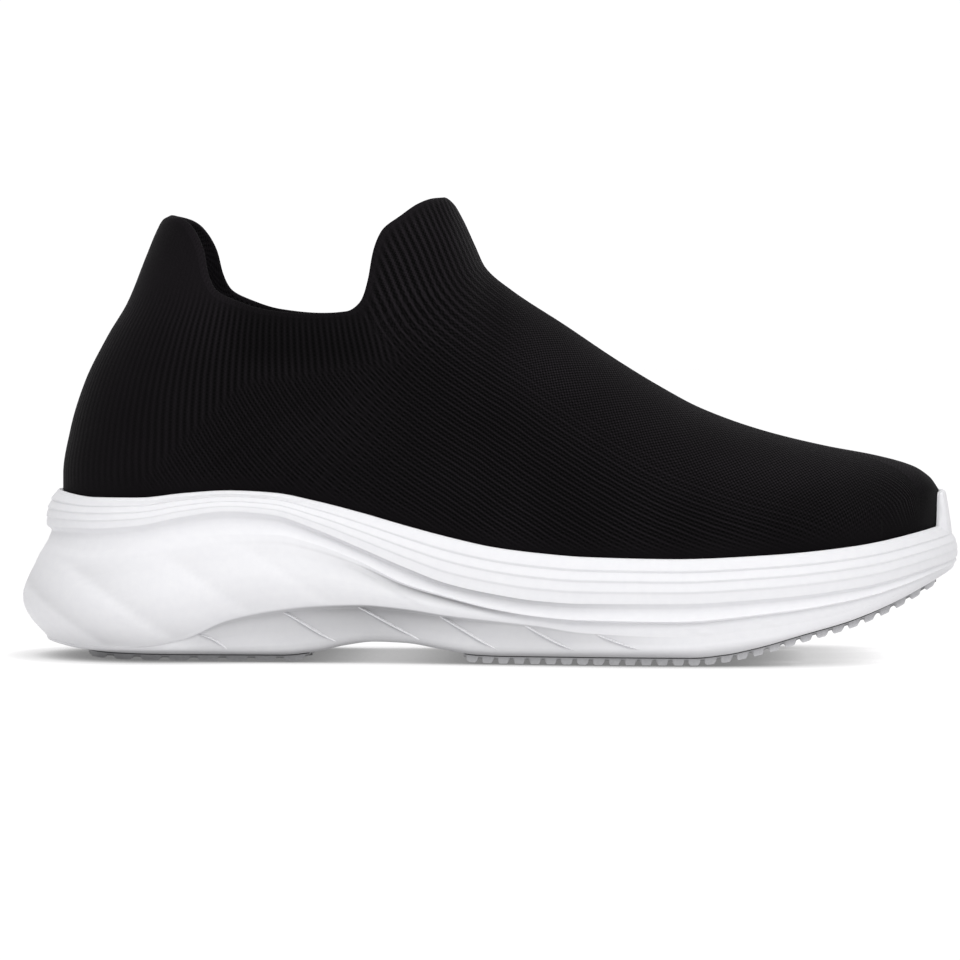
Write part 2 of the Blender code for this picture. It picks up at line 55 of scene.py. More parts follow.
# Knit wall, fits between pieces and footbed.
KNIT_WALL = 2.2
FIT = 0.3
COLLAR_ROLL = 0.9
INSOLE_THICKNESS = 4.0
INSOLE_CUPPING = 2.0
TREAD_INSET = 0.6
RIM_INNER_DROP = 0.3
RIM_OUTER_DROP = 0.9
LEAST_CREST = 0.01

# Rounding of the last in plan at its two ends, as shares of its length, with the power of each curve.
HEEL_ROUND = 0.125
HEEL_POWER = 2.1
TOE_ROUND = 0.24
TOE_POWER = 2.15

# Bands pressed into the side of the midsole, as shares of the height from rim to hollow.
BAND_STEPS = (0.26, 0.49, 0.73)
STEP_DROP = 0.05
BODY_ROWS = (0.14, 0.30, 0.46, 0.62, 0.78, 0.91)
BODY_SKEW = 1.18

# Toe bumper that stands above the rim.
BUMPER_RISE = 10.0
BUMPER_HALF = 10.5
BUMPER_FADE = 2.0
BUMPER_FROM = 0.9
TOE_WALL_TOP = 49.3
TOE_WALL_IN = (0.955, 0.045)

# Shares of the height or depth at which the midsole's side turns.
RIM_MIDDLE = 0.55
BAND_SWING = 0.75
HOLLOW_HIGH = 0.30
HOLLOW_LOW = 0.70
TUCK = 0.12
RECESS_EDGE = 0.12
RECESS_MIDDLE = 0.25

# Samples along the collar, the front and the heel line.
COLLAR_SAMPLES = 400
FRONT_SAMPLES = 600
HEEL_SAMPLES = 200

# Steps across a closed loop, and how much closer places along the last lie at the toe.
ACROSS = 3
TOE_CROWDING = 0.10

# Plan of the last: distance of the outer and the inner side from its centre line, and that line's
# own shift towards the inner side, all as shares of the ball width.
PLAN_NAMES = ("along", "outer", "inner", "centre")
PLAN = (
    (0.00, 0.350, 0.345, 0.000),
    (0.12, 0.360, 0.335, 0.000),
    (0.25, 0.375, 0.317, 0.010),
    (0.35, 0.404, 0.295, 0.016),
    (0.45, 0.450, 0.300, 0.022),
    (0.55, 0.505, 0.338, 0.034),
    (0.65, 0.550, 0.398, 0.046),
    (0.74, 0.568, 0.430, 0.058),
    (0.85, 0.565, 0.432, 0.072),
    (1.00, 0.545, 0.378, 0.095),
)

# Heights of the lines that run round the midsole, as shares of the heel rim: the rim, the foot of
# the bands, the lip under the hollow, the top of the arch recess and the lowest edge.
LEVEL_NAMES = ("along", "rim", "bands", "lip", "recess", "edge")
LEVELS = (
    (0.00, 0.996, 0.778, 0.688, 0.114, 0.092),
    (0.05, 0.962, 0.780, 0.648, 0.080, 0.060),
    (0.10, 0.964, 0.800, 0.676, 0.084, 0.060),
    (0.15, 0.992, 0.856, 0.720, 0.134, 0.062),
    (0.20, 1.008, 0.888, 0.750, 0.248, 0.064),
    (0.25, 0.996, 0.868, 0.752, 0.306, 0.068),
    (0.30, 0.946, 0.784, 0.696, 0.336, 0.090),
    (0.35, 0.880, 0.676, 0.596, 0.344, 0.136),
    (0.40, 0.806, 0.566, 0.470, 0.322, 0.136),
    (0.45, 0.738, 0.468, 0.392, 0.284, 0.102),
    (0.50, 0.682, 0.412, 0.326, 0.256, 0.080),
    (0.55, 0.650, 0.374, 0.284, 0.228, 0.078),
    (0.60, 0.630, 0.360, 0.264, 0.190, 0.082),
    (0.70, 0.620, 0.362, 0.258, 0.170, 0.092),
    (0.80, 0.642, 0.392, 0.306, 0.222, 0.152),
    (0.90, 0.690, 0.456, 0.394, 0.330, 0.286),
    (1.00, 0.790, 0.596, 0.568, 0.544, 0.524),
)

# How far each of those lines stands out from the plan of the last, in units of REACH_UNIT. `bulge` is
# the swelling between lip and recess, `recess` the depth of the recess, `step` the depth of a band.
REACH_UNIT = 1.0
REACH_NAMES = (
    "along", "rim", "bands", "hollow", "lip", "tuck", "bulge", "skirt", "recess", "edge", "base", "step",
)
REACH = (
    (0.00, 2.0, 4.9, 3.5, 4.6, 6.6, 6.7, 5.0, 0.0, 3.6, -7.5, 0.50),
    (0.06, 2.0, 4.9, 3.3, 4.6, 6.4, 6.2, 5.0, 0.0, 3.8, -3.0, 0.50),
    (0.15, 2.0, 4.6, 2.9, 4.6, 5.8, 5.2, 5.2, 0.8, 4.0, 0.6, 0.30),
    (0.25, 2.0, 4.2, 2.3, 4.6, 5.1, 3.8, 5.0, 3.0, 3.6, 1.2, 0.25),
    (0.35, 1.9, 3.9, 2.1, 4.4, 4.0, 2.4, 4.6, 3.4, 2.8, 1.2, 0.35),
    (0.45, 1.8, 3.8, 2.2, 4.8, 3.2, 1.2, 3.8, 2.6, 2.8, 1.4, 0.60),
    (0.55, 1.8, 4.2, 2.8, 5.4, 2.9, 0.2, 2.8, 0.4, 3.2, 2.0, 0.70),
    (0.70, 1.8, 4.6, 3.4, 5.7, 4.0, 0.2, 4.3, 0.0, 4.4, 2.8, 0.70),
    (0.85, 1.8, 4.7, 3.7, 5.7, 4.6, 0.2, 4.6, 0.0, 4.4, 2.8, 0.60),
    (0.95, 1.9, 5.2, 4.6, 5.6, 5.0, 0.1, 4.8, 0.0, 4.2, 2.2, 0.40),
    (1.00, 2.2, 5.6, 5.2, 5.4, 5.1, 0.0, 4.7, 0.0, 3.9, 1.5, 0.15),
)

# Underside of the midsole and surface of the footbed: (along, height) as shares of the heel rim.
FLOORS = (
    (0.000, 0.038), (0.260, 0.038), (0.300, 0.060), (0.330, 0.096),
    (0.365, 0.120), (0.400, 0.114), (0.440, 0.080), (0.480, 0.050),
    (0.510, 0.046), (0.720, 0.046), (0.755, 0.064), (0.790, 0.102),
    (0.845, 0.182), (0.893, 0.250), (0.938, 0.338), (0.972, 0.424),
    (1.000, 0.500),
)
HEEL_TREAD = HEEL_RIM * FLOORS[0][1] - FIT
FORE_TREAD = HEEL_RIM * FLOORS[8][1] - FIT

FOOTBED = (
    (0.00, 0.760), (0.18, 0.735), (0.30, 0.680), (0.40, 0.560),
    (0.50, 0.440), (0.60, 0.370), (0.72, 0.350), (0.84, 0.390),
    (0.94, 0.480), (1.00, 0.560),
)

# Side view of the upper. Lengths are shares of the last and heights shares of the tongue's top.
# The heel line has (height, along), ridge and collar have (along, height).
HEEL_LINE = (
    (0.000, 0.0000), (0.393, 0.0000), (0.495, 0.0087), (0.596, 0.0250),
    (0.698, 0.0515), (0.771, 0.0742), (0.873, 0.0958), (0.931, 0.1085),
    (0.952, 0.1150), (0.961, 0.1235),
)
RIDGE = (
    (0.000, 1.140), (0.200, 1.136), (0.300, 1.122), (0.350, 1.086),
    (0.390, 1.040), (0.415, 1.010), (0.427, 1.003), (0.437, 1.000),
    (0.446, 0.987), (0.457, 0.952), (0.470, 0.898), (0.483, 0.846),
    (0.510, 0.801), (0.575, 0.719), (0.630, 0.648), (0.680, 0.589),
    (0.730, 0.538), (0.800, 0.490), (0.870, 0.457), (0.930, 0.435),
    (0.970, 0.413), (0.990, 0.388), (1.000, 0.361),
)
COLLAR = (
    (0.1235, 0.961), (0.1360, 0.954), (0.1490, 0.935), (0.1640, 0.885),
    (0.1715, 0.830), (0.1820, 0.794), (0.2050, 0.771), (0.2450, 0.750),
    (0.2900, 0.743), (0.3350, 0.749), (0.3510, 0.772), (0.3585, 0.816),
    (0.3645, 0.881), (0.3740, 0.926), (0.3950, 0.960), (0.4150, 0.989),
    (0.4270, 0.998), (0.4370, 1.000),
)
SECTION_NAMES = ("along", "power", "swell")
SECTIONS = (
    (0.00, 2.5, 0.00),
    (0.25, 2.5, 0.01),
    (0.45, 2.2, 0.00),
    (0.60, 1.9, 0.00),
    (0.75, 2.0, 0.02),
    (0.90, 2.2, 0.02),
    (1.00, 2.2, 0.00),
)

# Slanting ribs in the arch recess: where each starts under the recess edge, and how far it runs on.
RIB_STARTS = (0.165, 0.260, 0.344, 0.437, 0.535, 0.615)
RIB_RUNS = (0.034, 0.062, 0.072, 0.066, 0.056, 0.048)
RIB_PROUD = 0.8
RIB_SUNK = 0.8
RIB_HALF = 0.75

# Tread of the two rubber plates.
HEEL_PLATE = (0.030, 0.290)
HEEL_PITCH = 9.0
FORE_PLATE = (0.465, 0.996)
FORE_PITCH = 4.7
LUG_DEPTH = 1.3
HEEL_LUG_DEPTH = 0.9
LUG_REACH = 0.15
MOAT = 0.06
MOAT_SLOPE = 0.02


def curve(knots, values):
    """A smooth line through the points that never swings past them."""
    gaps = np.diff(knots)
    slopes = np.diff(values) / gaps
    lean = np.zeros(len(knots))
    before, after = slopes[:-1], slopes[1:]
    same = before * after > 0
    total = np.where(same, before + after, 1.0)
    lean[1:-1] = np.where(same, 2 * before * after / total, 0.0)
    lean[0], lean[-1] = slopes[0], slopes[-1]

    def at(place):
        place = np.clip(place, knots[0], knots[-1])
        k = np.clip(np.searchsorted(knots, place) - 1, 0, len(gaps) - 1)
        u = (place - knots[k]) / gaps[k]
        rise = values[k + 1] - values[k]
        start = gaps[k] * lean[k]
        end = gaps[k] * lean[k + 1]
        return values[k] + u * (start + u * (3 * rise - 2 * start - end + u * (start + end - 2 * rise)))

    return at


def lines(names, rows, scale=1.0):
    """Every column of a table as a curve along its first column."""
    first, *others = np.array(rows).T
    return {name: curve(first, scale * other) for name, other in zip(names[1:], others)}


def pairs(rows, scale):
    """A table of pairs as a curve."""
    first, second = np.array(rows).T
    return curve(first, scale * second)


plan = lines(PLAN_NAMES, PLAN, BALL_WIDTH)
level = lines(LEVEL_NAMES, LEVELS, HEEL_RIM)
reach = lines(REACH_NAMES, REACH, REACH_UNIT)
under = pairs(FLOORS, HEEL_RIM)
bed = pairs(FOOTBED, HEEL_RIM)
section = lines(SECTION_NAMES, SECTIONS)
heel_heights, heel_places = np.array(HEEL_LINE).T
heel_line = curve(TONGUE_TOP * heel_heights, heel_places)
ridge = pairs(RIDGE, TONGUE_TOP)


def swelling(value, least, more, middle, half):
    return least + more * hump(value, middle, half)


def added(steps):
    """The running sum of steps, from 0."""
    return np.concatenate([[0], np.cumsum(steps)])


def closing(share, power):
    """1 along the middle of the last, falling to 0 in a round end."""
    return (1 - (1 - np.clip(share, 0, 1)) ** power) ** (1 / power)


def smooth(share):
    """An S from 0 to 1."""
    share = np.clip(share, 0, 1)
    return share * share * (3 - 2 * share)


def fade(value, start, run):
    """0 up to the start and 1 after the run; a negative run fades out instead."""
    return smooth((value - start) / run)


def zones(table, **at):
    """Every zone of a table as the product of its fades."""
    return {
        name: math.prod(fade(at[axis], start, run) for axis, start, run in rows)
        for name, rows in table.items()
    }


def hump(value, middle, half):
    """A bell of height 1 round the middle."""
    return np.exp(-(((value - middle) / half) ** 2))


def side_of(along, side, back=0.0):
    """Y of the last's side: `side` is -1 outside and 1 inside, `back` is where the heel starts."""
    half = np.where(side < 0, plan["outer"](along), plan["inner"](along))
    ends = closing((along - back) / HEEL_ROUND, HEEL_POWER) * closing((1 - along) / TOE_ROUND, TOE_POWER)
    return half * ends


def station(steps):
    """Places along the last from heel to toe, closer at its round ends and closest at the toe."""
    share = np.arange(steps + 1) / steps
    share = share + TOE_CROWDING * share * np.sin(math.pi * share)
    return (1 - np.cos(math.pi * share)) / 2


def perimeter(steps):
    """Places along the last and their side, once round from the heel by the outer side."""
    turn = station(steps)
    along = np.concatenate([turn, turn[-2:0:-1]])
    side = np.concatenate([-np.ones(steps + 1), np.ones(steps - 1)])
    return along, side


def plan_point(along, side):
    """The plan of the last as points."""
    x = x_of(along)
    y = plan["centre"](along) + side * side_of(along, side)
    return np.stack([x, y], axis=-1)


def outward(points):
    """Directions that point out of a closed loop of plan points."""
    run = np.roll(points, -1, axis=0) - np.roll(points, 1, axis=0)
    out = np.stack([run[:, 1], -run[:, 0]], axis=-1)
    return out / np.linalg.norm(out, axis=1, keepdims=True)


def loop_of(offset, height, steps):
    """A loop round the last at an offset from it, with its heights."""
    along, side = perimeter(steps)
    points = plan_point(along, side)
    out = outward(points)
    flat = points + out * np.broadcast_to(offset, along.shape)[:, None]
    return np.column_stack([flat, np.broadcast_to(height, along.shape)])


class Skin:
    """Vertices and faces of one closed mesh."""

    def __init__(self):
        self.points = []
        self.faces = []

    def add(self, points):
        first = len(self.points)
        self.points.extend(tuple(float(v) for v in p) for p in points)
        return list(range(first, len(self.points)))

    def band(self, upper, lower):
        """Faces between two loops, facing out when the second is the lower."""
        n = len(upper)
        for i in range(n):
            j = (i + 1) % n
            self.faces.append((lower[i], lower[j], upper[j], upper[i]))

    def infill(self, loop, height, facing, across=ACROSS):
        """Rungs across a loop from its outer to its inner side, closing it at a height."""
        steps = len(loop) // 2
        share = np.arange(1, across) / across
        rungs = []
        for k in range(1, steps):
            a, b = np.array(self.points[loop[k]]), np.array(self.points[loop[-k]])
            inner = a + (b - a) * share[:, None]
            inner[:, 2] = height(along_of(inner[:, 0]), share)
            rungs.append([loop[k], *self.add(inner), loop[-k]])
        faces = []
        for j in range(across):
            faces.append((loop[0], rungs[0][j], rungs[0][j + 1]))
            faces.append((loop[steps], rungs[-1][j + 1], rungs[-1][j]))
            for here, there in zip(rungs, rungs[1:]):
                faces.append((here[j], there[j], there[j + 1], here[j + 1]))
        self.faces.extend(faces if facing > 0 else [face[::-1] for face in faces])


def along_of(x):
    return (x - BACK) / LAST_LENGTH


def x_of(along):
    return BACK + LAST_LENGTH * along


# Upper.
def wall_foot(along):
    """Height up to which the upper's wall stands straight."""
    rim = level["rim"](along) + FIT
    return rim + (TOE_WALL_TOP - rim) * fade(along, *TOE_WALL_IN)


def upper_side(along, height, side):
    """Y of the upper's outer face at a place in its side view."""
    foot = wall_foot(along)
    top = np.maximum(ridge(along), foot + LEAST_CREST)
    rise = np.clip((height - foot) / (top - foot), 0, 1)
    power = section["power"](along)
    closed = (1 - rise**power) ** (1 / power)
    swell = 1 + section["swell"](along) * np.sin(math.pi * rise)
    back = heel_line(height)
    return plan["centre"](along) + side * side_of(along, side, back) * closed * swell


def even(points, shares):
    """Points at shares of the length of a polyline."""
    gaps = np.linalg.norm(np.diff(points, axis=0) * [LAST_LENGTH, 1.0], axis=1)
    reached = added(gaps) / gaps.sum()
    return np.column_stack([np.interp(shares, reached, points[:, c]) for c in (0, 1)])


def collar_edge(shares):
    """The collar in side view from heel tab to tongue top, at shares of its length."""
    places, heights = np.array(COLLAR).T
    heights = TONGUE_TOP * heights
    gaps = np.hypot(np.diff(places) * LAST_LENGTH, np.diff(heights))
    reached = added(gaps) / gaps.sum()
    fine = np.linspace(0, 1, COLLAR_SAMPLES)
    smoothed = np.column_stack([curve(reached, places)(fine), curve(reached, heights)(fine)])
    return even(smoothed, shares)


def upper_view(steps, rows):
    """The upper in side view: a net of (along, height) between rim, heel line, ridge and collar."""
    u = station(steps)
    foot = np.column_stack([u, level["rim"](u) + FIT])
    top = collar_edge(u)
    lead = np.linspace(1, COLLAR[-1][0], FRONT_SAMPLES)
    front = np.column_stack([lead, ridge(lead)])
    gaps = np.linalg.norm(np.diff(front, axis=0) * [LAST_LENGTH, 1.0], axis=1)
    wall = front[0, 1] - foot[-1, 1]
    corner = wall / (wall + gaps.sum())
    rise = np.linspace(0, 1, rows - 1)
    rise = (rise + (1 - np.cos(math.pi * rise)) / 2) / 2
    v = np.concatenate([[0], corner + (1 - corner) * rise])
    front = even(np.vstack([foot[-1], front]), v)
    heights = np.linspace(foot[0, 1], top[0, 1], HEEL_SAMPLES)
    heel = even(np.column_stack([heel_line(heights), heights]), v)
    net = np.zeros((rows, steps + 1, 2))
    for r in range(rows):
        straight = (1 - v[r]) * foot + v[r] * top
        across = np.outer(1 - u, heel[r]) + np.outer(u, front[r])
        low = np.outer(1 - u, foot[0]) + np.outer(u, foot[-1])
        high = np.outer(1 - u, top[0]) + np.outer(u, top[-1])
        net[r] = straight + across - (1 - v[r]) * low - v[r] * high
    return net


def upper_loops(steps, rows):
    """Loops of the upper's outer face from collar to rim."""
    net = upper_view(steps, rows)
    loops = []
    for row in net[::-1]:
        both = np.concatenate([row, row[-2:0:-1]])
        _, side = perimeter(steps)
        y = upper_side(both[:, 0], both[:, 1], side)
        loops.append(np.column_stack([x_of(both[:, 0]), y, both[:, 1]]))
    return loops


def inward(loops):
    """The same loops moved in by the knit wall, square to the surface."""
    grid = np.array(loops)
    down = np.gradient(grid, axis=0)
    run = np.roll(grid, -1, axis=1) - np.roll(grid, 1, axis=1)
    out = np.cross(down, run)
    out /= np.linalg.norm(out, axis=2, keepdims=True)
    return grid - out * KNIT_WALL


# Midsole.
def bumper(points):
    """1 round the toe tip where the bumper stands, 0 elsewhere."""
    tip = plan["centre"](1.0)
    off = np.abs(points[:, 1] - tip)
    front = points[:, 0] > x_of(BUMPER_FROM)
    return np.where(front, 1 - smooth((off - BUMPER_HALF) / BUMPER_FADE), 0.0)


def midsole_rows(steps):
    """(offset, height) of each loop round the midsole, from the cup to the underside."""
    along, side = perimeter(steps)
    rim = level["rim"](along) + BUMPER_RISE * bumper(plan_point(along, side))
    low_rim = level["rim"](along)
    bands, lip = level["bands"](along), level["lip"](along)
    recess, edge = level["recess"](along), level["edge"](along)
    out = {name: line(along) for name, line in reach.items()}
    rows = [
        (FIT, bed(along)),
        (FIT, rim - RIM_INNER_DROP),
        (RIM_MIDDLE * out["rim"], rim),
        (out["rim"], rim - RIM_OUTER_DROP),
    ]
    for share in BAND_STEPS:
        swing = math.sin(math.pi / 2 * min(share / BAND_SWING, 1))
        face = out["rim"] + (out["bands"] - out["rim"]) * swing
        depth = low_rim - bands
        rows.append((face + out["step"] / 2, low_rim - share * depth))
        rows.append((face - out["step"] / 2, low_rim - (share + STEP_DROP) * depth))
    tuck = lip - TUCK * (lip - recess)
    rows += [
        (out["bands"], bands),
        (out["hollow"], bands - HOLLOW_HIGH * (bands - lip)),
        ((out["hollow"] + out["lip"]) / 2, bands - HOLLOW_LOW * (bands - lip)),
        (out["lip"], lip),
        (out["tuck"], tuck),
    ]
    for share in BODY_ROWS:
        swell = out["bulge"] * math.sin(math.pi * share**BODY_SKEW)
        reached = out["tuck"] + (out["skirt"] - out["tuck"]) * share + swell
        rows.append((reached, tuck + (recess - tuck) * share))
    below = recess - RECESS_EDGE * (recess - edge)
    deep = out["skirt"] - out["recess"]
    rows += [
        (out["skirt"], recess),
        (deep, below),
        (deep + RECESS_MIDDLE * (out["edge"] - deep), (below + edge) / 2),
        (out["edge"], edge),
    ]
    return rows


def base_loop(steps):
    """The edge of the underside."""
    along, _ = perimeter(steps)
    loop = loop_of(reach["base"](along), 0.0, steps)
    loop[:, 2] = under(along_of(loop[:, 0]))
    return loop


# Ribs of the recess: how their face curves, the shares of the recess they fill and their two ends.
RIB_FACE = 0.5
RIB_TOP = 0.06
RIB_SPAN = 0.90
RIB_SLOPE = 4
RIB_ENDS = (0.3, 0.1)
RIB_WIDE = 1.1
RIB_STEP = 0.002

# Resolution of the pieces.
KNIT_STEPS = 230
KNIT_ROWS = 120
LINING_ROWS = 34
MIDSOLE_STEPS = 250
TREAD_STEP = 0.47
TREAD_ACROSS = 56

# Wales and courses of the knit, in millimetres.
WALE = 2.35
COURSE = 1.15
ANKLE_WALES = 54
SAMPLES = 24
RIB_FINE = 16
RIB_ROUND = 9
ROLL_STEPS = 9
ROLL_FULL = 1.15
HEM_SHARES = (0.1, 0.4, 0.7, 1.0)
FOOTBED_STEPS = 120
FOOTBED_ACROSS = 30
FOOTBED_ROUND = 1.4
FOOTBED_TURNS = 5
FOOTBED_POWER = 0.8

# Darker and lighter colour of each material.
KNIT_COLOURS = ((0.0058, 0.0048, 0.0058), (0.0064, 0.0054, 0.0065))
LINING_COLOURS = ((0.0075, 0.0065, 0.0078), (0.011, 0.0095, 0.0115))
FOAM_COLOURS = ((0.815, 0.815, 0.84), (0.84, 0.84, 0.86))
RUBBER_COLOURS = ((0.60, 0.60, 0.62), (0.70, 0.70, 0.72))
FOOTBED_COLOURS = ((0.010, 0.009, 0.011), (0.017, 0.0155, 0.018))
STAGE_BASE = (0.05, 0.05, 0.05, 1.0)
STAGE_GLOW = (1.0, 0.995, 1.0, 1.0)

# Side view, in millimetres along and up: the turn where the ribs of the ankle meet the lines that
# follow the front of the shoe.
TURN_X = (-112.0, -101.0, -89.0, -71.0, -47.0, -24.7)
TURN_Z = (47.0, 52.5, 64.5, 81.0, 84.6, 88.5)
THROAT_X = -36.0
THROAT_Z = 106.0
THROAT_LEAN = 0.25
TOE_TURN = 9.0
CREST_FALL = 45.0
CREST_HALF = 30.0
CREST_POWER = 2.1
CREST_SAMPLES = 2000
LINE_SAMPLES = 700
LINE_FROM = 20
LINE_ABOVE = 40
NEAR_CHUNK = 4000
TURN_RUN = 7.0
AHEAD_RUN = 8.0
AHEAD_LEAN = 0.874
HEM_IN = (0.5, 6.0)
HEEL_LEAST = 0.28
BOLD_LEAST = 0.75
BOLD_MORE = 0.45
COLLAR_DARK = 0.42
TOE_DARK = 0.35

# Zones of the knit. A fade starts at a place in millimetres, along the shoe, up or over the face
# from the front line, and comes in over a run from there. It goes out if the run is negative.
KNIT_ZONES = {
    "tongue": (("z", 84, 24), ("x", 12, -24)),
    "vamp": (("front", 44, -20), ("x", 0, 18), ("x", 124, -20)),
    "heel": (("x", -112, 40),),
    "bold": (("x", -40, 40), ("front", 20, 25)),
    "tip": (("x", 132, -8),),
    "collar": (("z", 84, 8), ("x", -28, -10), ("x", -80, 12)),
    "toe": (("z", 57, -9), ("x", 70, 34)),
    "tab": (("z", 98, 14), ("x", -74, -8)),
}

# Slanting edges on the midsole's side, as x and z of both ends with their height.
CRESTS = (
    (-41.5, 30.4, -16.2, 16.2, 0.55),
    (57.3, 12.6, 67.2, 8.2, 0.35),
    (76.2, 14.9, 87.0, 11.0, 0.30),
)
EDGE_HALF = 0.55
EDGE_ENDS = 4

# Slanting facets on the heel's side: where each begins, its height and the painted shade beside its
# edge, and how the whole leans, drops and ends.
FACETS = (-104.7, -80.0, -45.7, -18.4)
FACET_DEEP = (0.75, 0.65, 0.55, 0.45)
FACET_SHADE = (0.14, 0.10, 0.05, 0.03)
FACET_LAST = 10.0
FACET_LEAN = 1.5
FACET_POWER = 1.3
FACET_DROP = 0.22
FACET_DARK_IN = (-0.10, 0.16)
FACET_DARK_POWER = 2.5
BACK_SINK = 0.35
BACK_FROM = 26
BACK_RUN = -30

# Zones of the foam, with fades in millimetres, or in rows of the midsole's profile for `kind`.
FOAM_ZONES = {
    "body": (("kind", 13.6, 1.2), ("kind", 21.2, -0.8)),
    "heel": (("x", -8, -30),),
    "edge": (("kind", 13.2, 0.8),),
    "low": (("z", 14, -14), ("x", -20, -60)),
    "recess": (("kind", 21.0, 0.5), ("x", -94, 16), ("x", 66, -54)),
    "bands": (("kind", 10.0, 0.12),),
    "lip": (("kind", 13.5, 0.3),),
    "ground": (("over", 4.6, -3.6),),
    "fore": (("x", 50, 40),),
}

# Painted shade of the foam. Rows of four say how dark it is everywhere, how much darker at its
# deepest, where along the shoe that is and how far it spreads.
LOW_DARK = 0.05
RECESS_DARK = 0.20
RECESS_TOP = 24.2
RECESS_ROWS = 3
DEEPEST = (0.85, 0.58, -32, 20)
STEP_ROWS = (4, 6, 8)
STEP_SOFT = 0.5
STEP_DARK = 0.05
STEP_MIDDLE = (0.7, 0.55)
BANDS_FROM = 10.1
BANDS_RUN = 0.9
BANDS_DARK = (0.07, 0.38, 0, 34)
LIP_FROM = 13.8
LIP_RUN = 2.6
LIP_DARK = (0.03, 0.40, -14, 27)
GROUND_DROP = 1.6
GROUND_TOP = 30.0
GROUND_DARK = (0.40, -0.26)
RIB_SHADE = 0.90


# Graphs of shader nodes.
class Graph:
    """A material with a principled shader, and short ways to add nodes to it."""

    def __init__(self, name, rough, **fixed):
        self.material = bpy.data.materials.new(name)
        self.material.use_nodes = True
        self.nodes = self.material.node_tree.nodes
        self.links = self.material.node_tree.links
        self.shader = self.nodes["Principled BSDF"]
        self.shader.inputs["Roughness"].default_value = rough
        for key, value in fixed.items():
            self.shader.inputs[key.replace("_", " ")].default_value = value

    def set(self, socket, value):
        if isinstance(value, bpy.types.NodeSocket):
            self.links.new(value, socket)
        else:
            socket.default_value = value

    def node(self, kind, **inputs):
        made = self.nodes.new("ShaderNode" + kind)
        for name, value in inputs.items():
            self.set(made.inputs[name], value)
        return made

    def read(self, name):
        made = self.node("Attribute")
        made.attribute_name = name
        return made.outputs["Fac"]

    def do(self, operation, *values):
        made = self.node("Math")
        made.operation = operation
        for socket, value in zip(made.inputs, values):
            self.set(socket, value)
        return made.outputs[0]

    def times(self, a, b):
        return self.do("MULTIPLY", a, b)

    def line(self, value, gain, base):
        return self.do("MULTIPLY_ADD", value, gain, base)

    def mix(self, a, b, share):
        return self.line(self.do("SUBTRACT", b, a), share, a)

    def wave(self, value, pitch):
        return self.do("COSINE", self.times(value, 2 * math.pi / pitch))

    def noise(self, scale, detail=2.0, rough=0.5):
        if not hasattr(self, "place"):
            self.place = self.node("TexCoord").outputs["Object"]
        made = self.node("TexNoise", Vector=self.place, Scale=scale, Detail=detail, Roughness=rough)
        return made.outputs["Fac"]

    def ramp(self, share, colours, low=0.3, high=0.7):
        """From the first colour at `low` to the second at `high`."""
        made = self.node("ValToRGB", Fac=share)
        for stop, place, colour in zip(made.color_ramp.elements, (low, high), colours):
            stop.position = place
            stop.color = (*colour, 1.0)
        return made.outputs[0]

    def tint(self, colour, share):
        """A colour times a number."""
        made = self.node("VectorMath")
        made.operation = "SCALE"
        self.links.new(colour, made.inputs[0])
        self.links.new(share, made.inputs["Scale"])
        return made.outputs[0]

    def bump(self, height, deep, strength=1.0, over=None):
        made = self.node("Bump", Distance=deep, Strength=strength, Height=height)
        if over is not None:
            self.links.new(over, made.inputs["Normal"])
        return made.outputs[0]

    def open_sky(self, reach, gain, least):
        """How free the surface is of anything within reach, from `least` upwards."""
        made = self.node("AmbientOcclusion", Distance=reach)
        made.samples = 4
        return self.line(made.outputs["AO"], gain, least)

    def finish(self, colour, normal, rough=None):
        self.links.new(colour, self.shader.inputs["Base Color"])
        self.links.new(normal, self.shader.inputs["Normal"])
        if rough is not None:
            self.links.new(rough, self.shader.inputs["Roughness"])
        return self.material


def piece(name, points, faces, material, slot, *stands_for, **fields):
    """A smooth mesh in metres that rides on the shoe, with one number a point for each field."""
    mesh = bpy.data.meshes.new(name)
    mesh.from_pydata((np.asarray(points) * MM).tolist(), [], [list(map(int, f)) for f in faces])
    mesh.update()
    mesh.shade_smooth()
    for key, values in fields.items():
        made = mesh.attributes.new(key, "FLOAT", "POINT")
        made.data.foreach_set("value", np.asarray(values, np.float32))
    mesh.materials.append(material)
    made = bpy.data.objects.new(name, mesh)
    bpy.context.scene.collection.objects.link(made)
    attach(made, "root")
    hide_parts(*stands_for)
    return made


def ring_faces(rows, columns):
    """Faces between rows of a closed ring, facing out when later rows are lower."""
    r, c = np.meshgrid(np.arange(rows - 1), np.arange(columns), indexing="ij")
    d = (c + 1) % columns
    here, below = r * columns, (r + 1) * columns
    return np.stack([below + c, below + d, here + d, here + c], axis=-1).reshape(-1, 4)


# Knit upper.
def path_length(x0, z0, x1, z1, side):
    """Length over the upper's face from one place in side view to another, in steps."""
    length = np.zeros(np.shape(x1))
    before = upper_side(along_of(x0), z0, side)
    for k in range(1, SAMPLES + 1):
        share = k / SAMPLES
        x = x0 + (x1 - x0) * share
        z = z0 + (z1 - z0) * share
        y = upper_side(along_of(x), z, side)
        length += np.sqrt(((x1 - x0) / SAMPLES) ** 2 + ((z1 - z0) / SAMPLES) ** 2 + (y - before) ** 2)
        before = y
    return length


def front_line():
    """The front of the shoe in side view, from above the tongue over the vamp to the toe."""
    lead = np.linspace(COLLAR[-1][0], 1.0, LINE_SAMPLES)
    over = np.column_stack([x_of(lead), ridge(lead)])
    first, later = over[LINE_FROM], over[3 * LINE_FROM]
    up = (first - later) / np.linalg.norm(first - later)
    above = first + up * np.linspace(LINE_ABOVE, 1, LINE_ABOVE)[:, None]
    return np.vstack([above, over[LINE_FROM:]])


